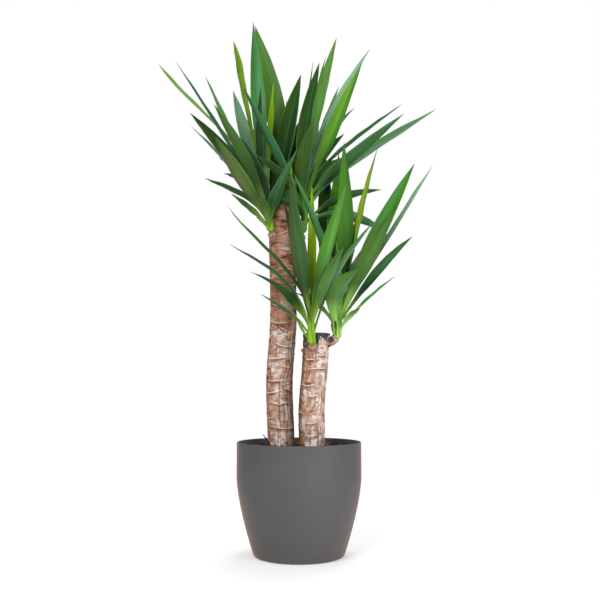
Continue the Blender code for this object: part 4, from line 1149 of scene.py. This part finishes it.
SHORT_RIGHT = Shoot(
    "short_right_shoot",
    [(7.7, 43.1, 2.2), (7.95, 45.3, 2.2), (8.35, 48.2, 2.2), (8.8, 51.5, 2.2)],
    (0.95, 0.9, 0.65, 0.3), "#a8de64", 5, (4, 27, 35, 41),
    ("blue", 0.6, 4.9, 62.4, 4.4, -1.3, 77.9, 7.5, 1.7),
    ("fresh", 0.25, 8.1, 53.5, 10, 12.6, 57.6, 16, 4.3, 0.7, 0.46, 0.8),
    ("fern", 0.7, 16, 64.1, 0, 24.1, 79.7, -3, 3.5, 0.46),
    ("moss", 0.5, 14.3, 59.8, 7, 19.3, 69.3, 13, 3.5),
    ("mist", 0.63, 20.9, 67.7, -4, 27.8, 79.1, -7, 1, 0.35),
    ("pine", 0.45, 16.2, 57, 1, 23.5, 64.3, -1, 1.9, 0.22),
    ("blue", 0.3, 14.1, 51.2, 3.5, 19.8, 56, 4, 0.6, 0.5),
    ("fresh", 0.2, 10.6, 47.7, 5, 12.5, 49.4, 8, 1.2),
    ("teal", 0.22, 4, 49.7, 1.2, -1, 52.7, 1, 1),
    ("deep", 0.85, 9.7, 65.8, 1.8, 9.4, 84.2, 2.5, 3.8),
    ("grass", 0.75, 7, 63.2, -4, 8.3, 82, -10, 3.5),
    ("spring", 0.8, 12.2, 66, 0.6, 16.4, 83, -1, 1.4, 0.1),
    ("teal", 0.65, 11, 61.5, -5, 13.2, 72.3, -11, 1.5),
    ("dark", 0.9, 5.8, 63, -5, 5, 84, -13, 4.3),
    ("bright", 0.96, 7.9, 57, 3.2, 7.6, 63.5, 3.4, 1.1),
    ("sheath", 0, 6.95, 45.2, 3.7, 6.85, 47.8, 3.6, 1.25, 1, 0.62, 2.6),
    ("bud", 0, 7, 45, 4, 6.9, 47.3, 3.9, 0.45),
)


# Studio


def camera():
    """The photograph's camera: 50 mm, level with the lower third, tipped up a little."""
    lens = bpy.data.cameras.new("studio_camera")
    lens.lens, lens.sensor_width, lens.clip_end = 50, 36, 50
    made = placed("studio_camera", lens)
    made.location = (EYE_SIDE, -EYE_DISTANCE, EYE_HEIGHT)
    made.rotation_euler = (math.pi / 2 + LOOK_UP, 0, 0)
    bpy.context.scene.camera = made


def area_light(name, place, aim, size, power):
    """A square soft box at a place, turned to a height on the planter's axis."""
    lamp = bpy.data.lights.new(name, "AREA")
    lamp.size, lamp.energy = size, power
    made = placed(name, lamp)
    x, y, z = place
    made.location = place
    made.rotation_euler = (math.atan2(math.hypot(x, y), z - aim), 0, math.atan2(x, -y))


def studio():
    """A white sweep: pale floor, white surround, and three soft boxes."""
    add, end = new_material("matt_studio_floor")
    place = add("TexCoord")
    cloud = add("TexNoise", {"Vector": place, "Scale": 3.0})
    tone = add("ValToRGB", {"Fac": cloud}, [(0.3, "#f4f4f4"), (0.7, "#f8f8f8")])
    reach = add("VectorMath", {0: place}, out="Value", operation="LENGTH")
    far = {"Value": reach, "From Min": 0.3, "From Max": 1.1, "To Min": 1.0, "To Max": 0.0}
    fade = add("MapRange", far, interpolation_type="SMOOTHSTEP")
    white = end(
        base_color=tone, roughness=0.9, emission_color=(1, 1, 1, 1), emission_strength=0.30,
        specular_ior_level=0.1, alpha=fade,
    )
    mesh = bpy.data.meshes.new("floor")
    corners = [(-1.2, -1.2, 0), (1.2, -1.2, 0), (1.2, 1.2, 0), (-1.2, 1.2, 0)]
    mesh.from_pydata(corners, [], [(0, 1, 2, 3)])
    mesh.materials.append(white)
    floor = placed("floor", mesh)
    floor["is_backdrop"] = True

    world = bpy.data.worlds.new("white_surround")
    world.use_nodes = True
    tree = world.node_tree
    seen = add_node(tree, "LightPath")
    power = add_node(tree, "MapRange", {"Value": seen, "To Min": 0.42})
    surround = tree.nodes["Background"]
    give(tree, surround.inputs["Color"], (1, 1, 1, 1))
    give(tree, surround.inputs["Strength"], power)
    bpy.context.scene.world = world
    bpy.context.scene.view_settings.view_transform = "Standard"

    area_light("key_box", (-1.0, -2.2, 1.9), 0.55, 1.2, 34)
    area_light("fill_box", (1.5, -1.7, 0.55), 0.38, 1.0, 22)
    area_light("top_box", (0.3, 0.8, 2.4), 0.7, 1.2, 20)


def main():
    """Dresses every node, and sets the studio."""
    camera()
    pot()
    soil()
    soil_crumbs()
    bark = corky_bark()
    wax = grafting_wax()
    TALL.build(bark)
    SHORT.build(bark)
    TALL.seal(wax, ((-120, 7), (-90, 11), (-60, 7), (40, 10), (120, 7)))
    SHORT.seal(wax, (
        (-180, 26), (-152, 30), (-128, 31), (-110, 30), (-90, 30), (-86, 28), (-83, 18),
        (-79, 10), (-75, 6.5), (-68, 8), (-52, 13), (-30, 20), (-10, 22), (0, 15),
        (60, 8), (120, 8),
    ))
    swellings(bark)
    bud_scar(wax)
    blade = yucca_blade()
    for shoot in (TALL_LEFT, TALL_BACK, TALL_RIGHT, SHORT_LEFT, SHORT_RIGHT):
        shoot.build(blade)
    studio()
    sizes = {"cad": CAD_BOX, "visual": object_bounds()}
    plain = {key: [[float(c) for c in corner] for corner in box] for key, box in sizes.items()}


main()
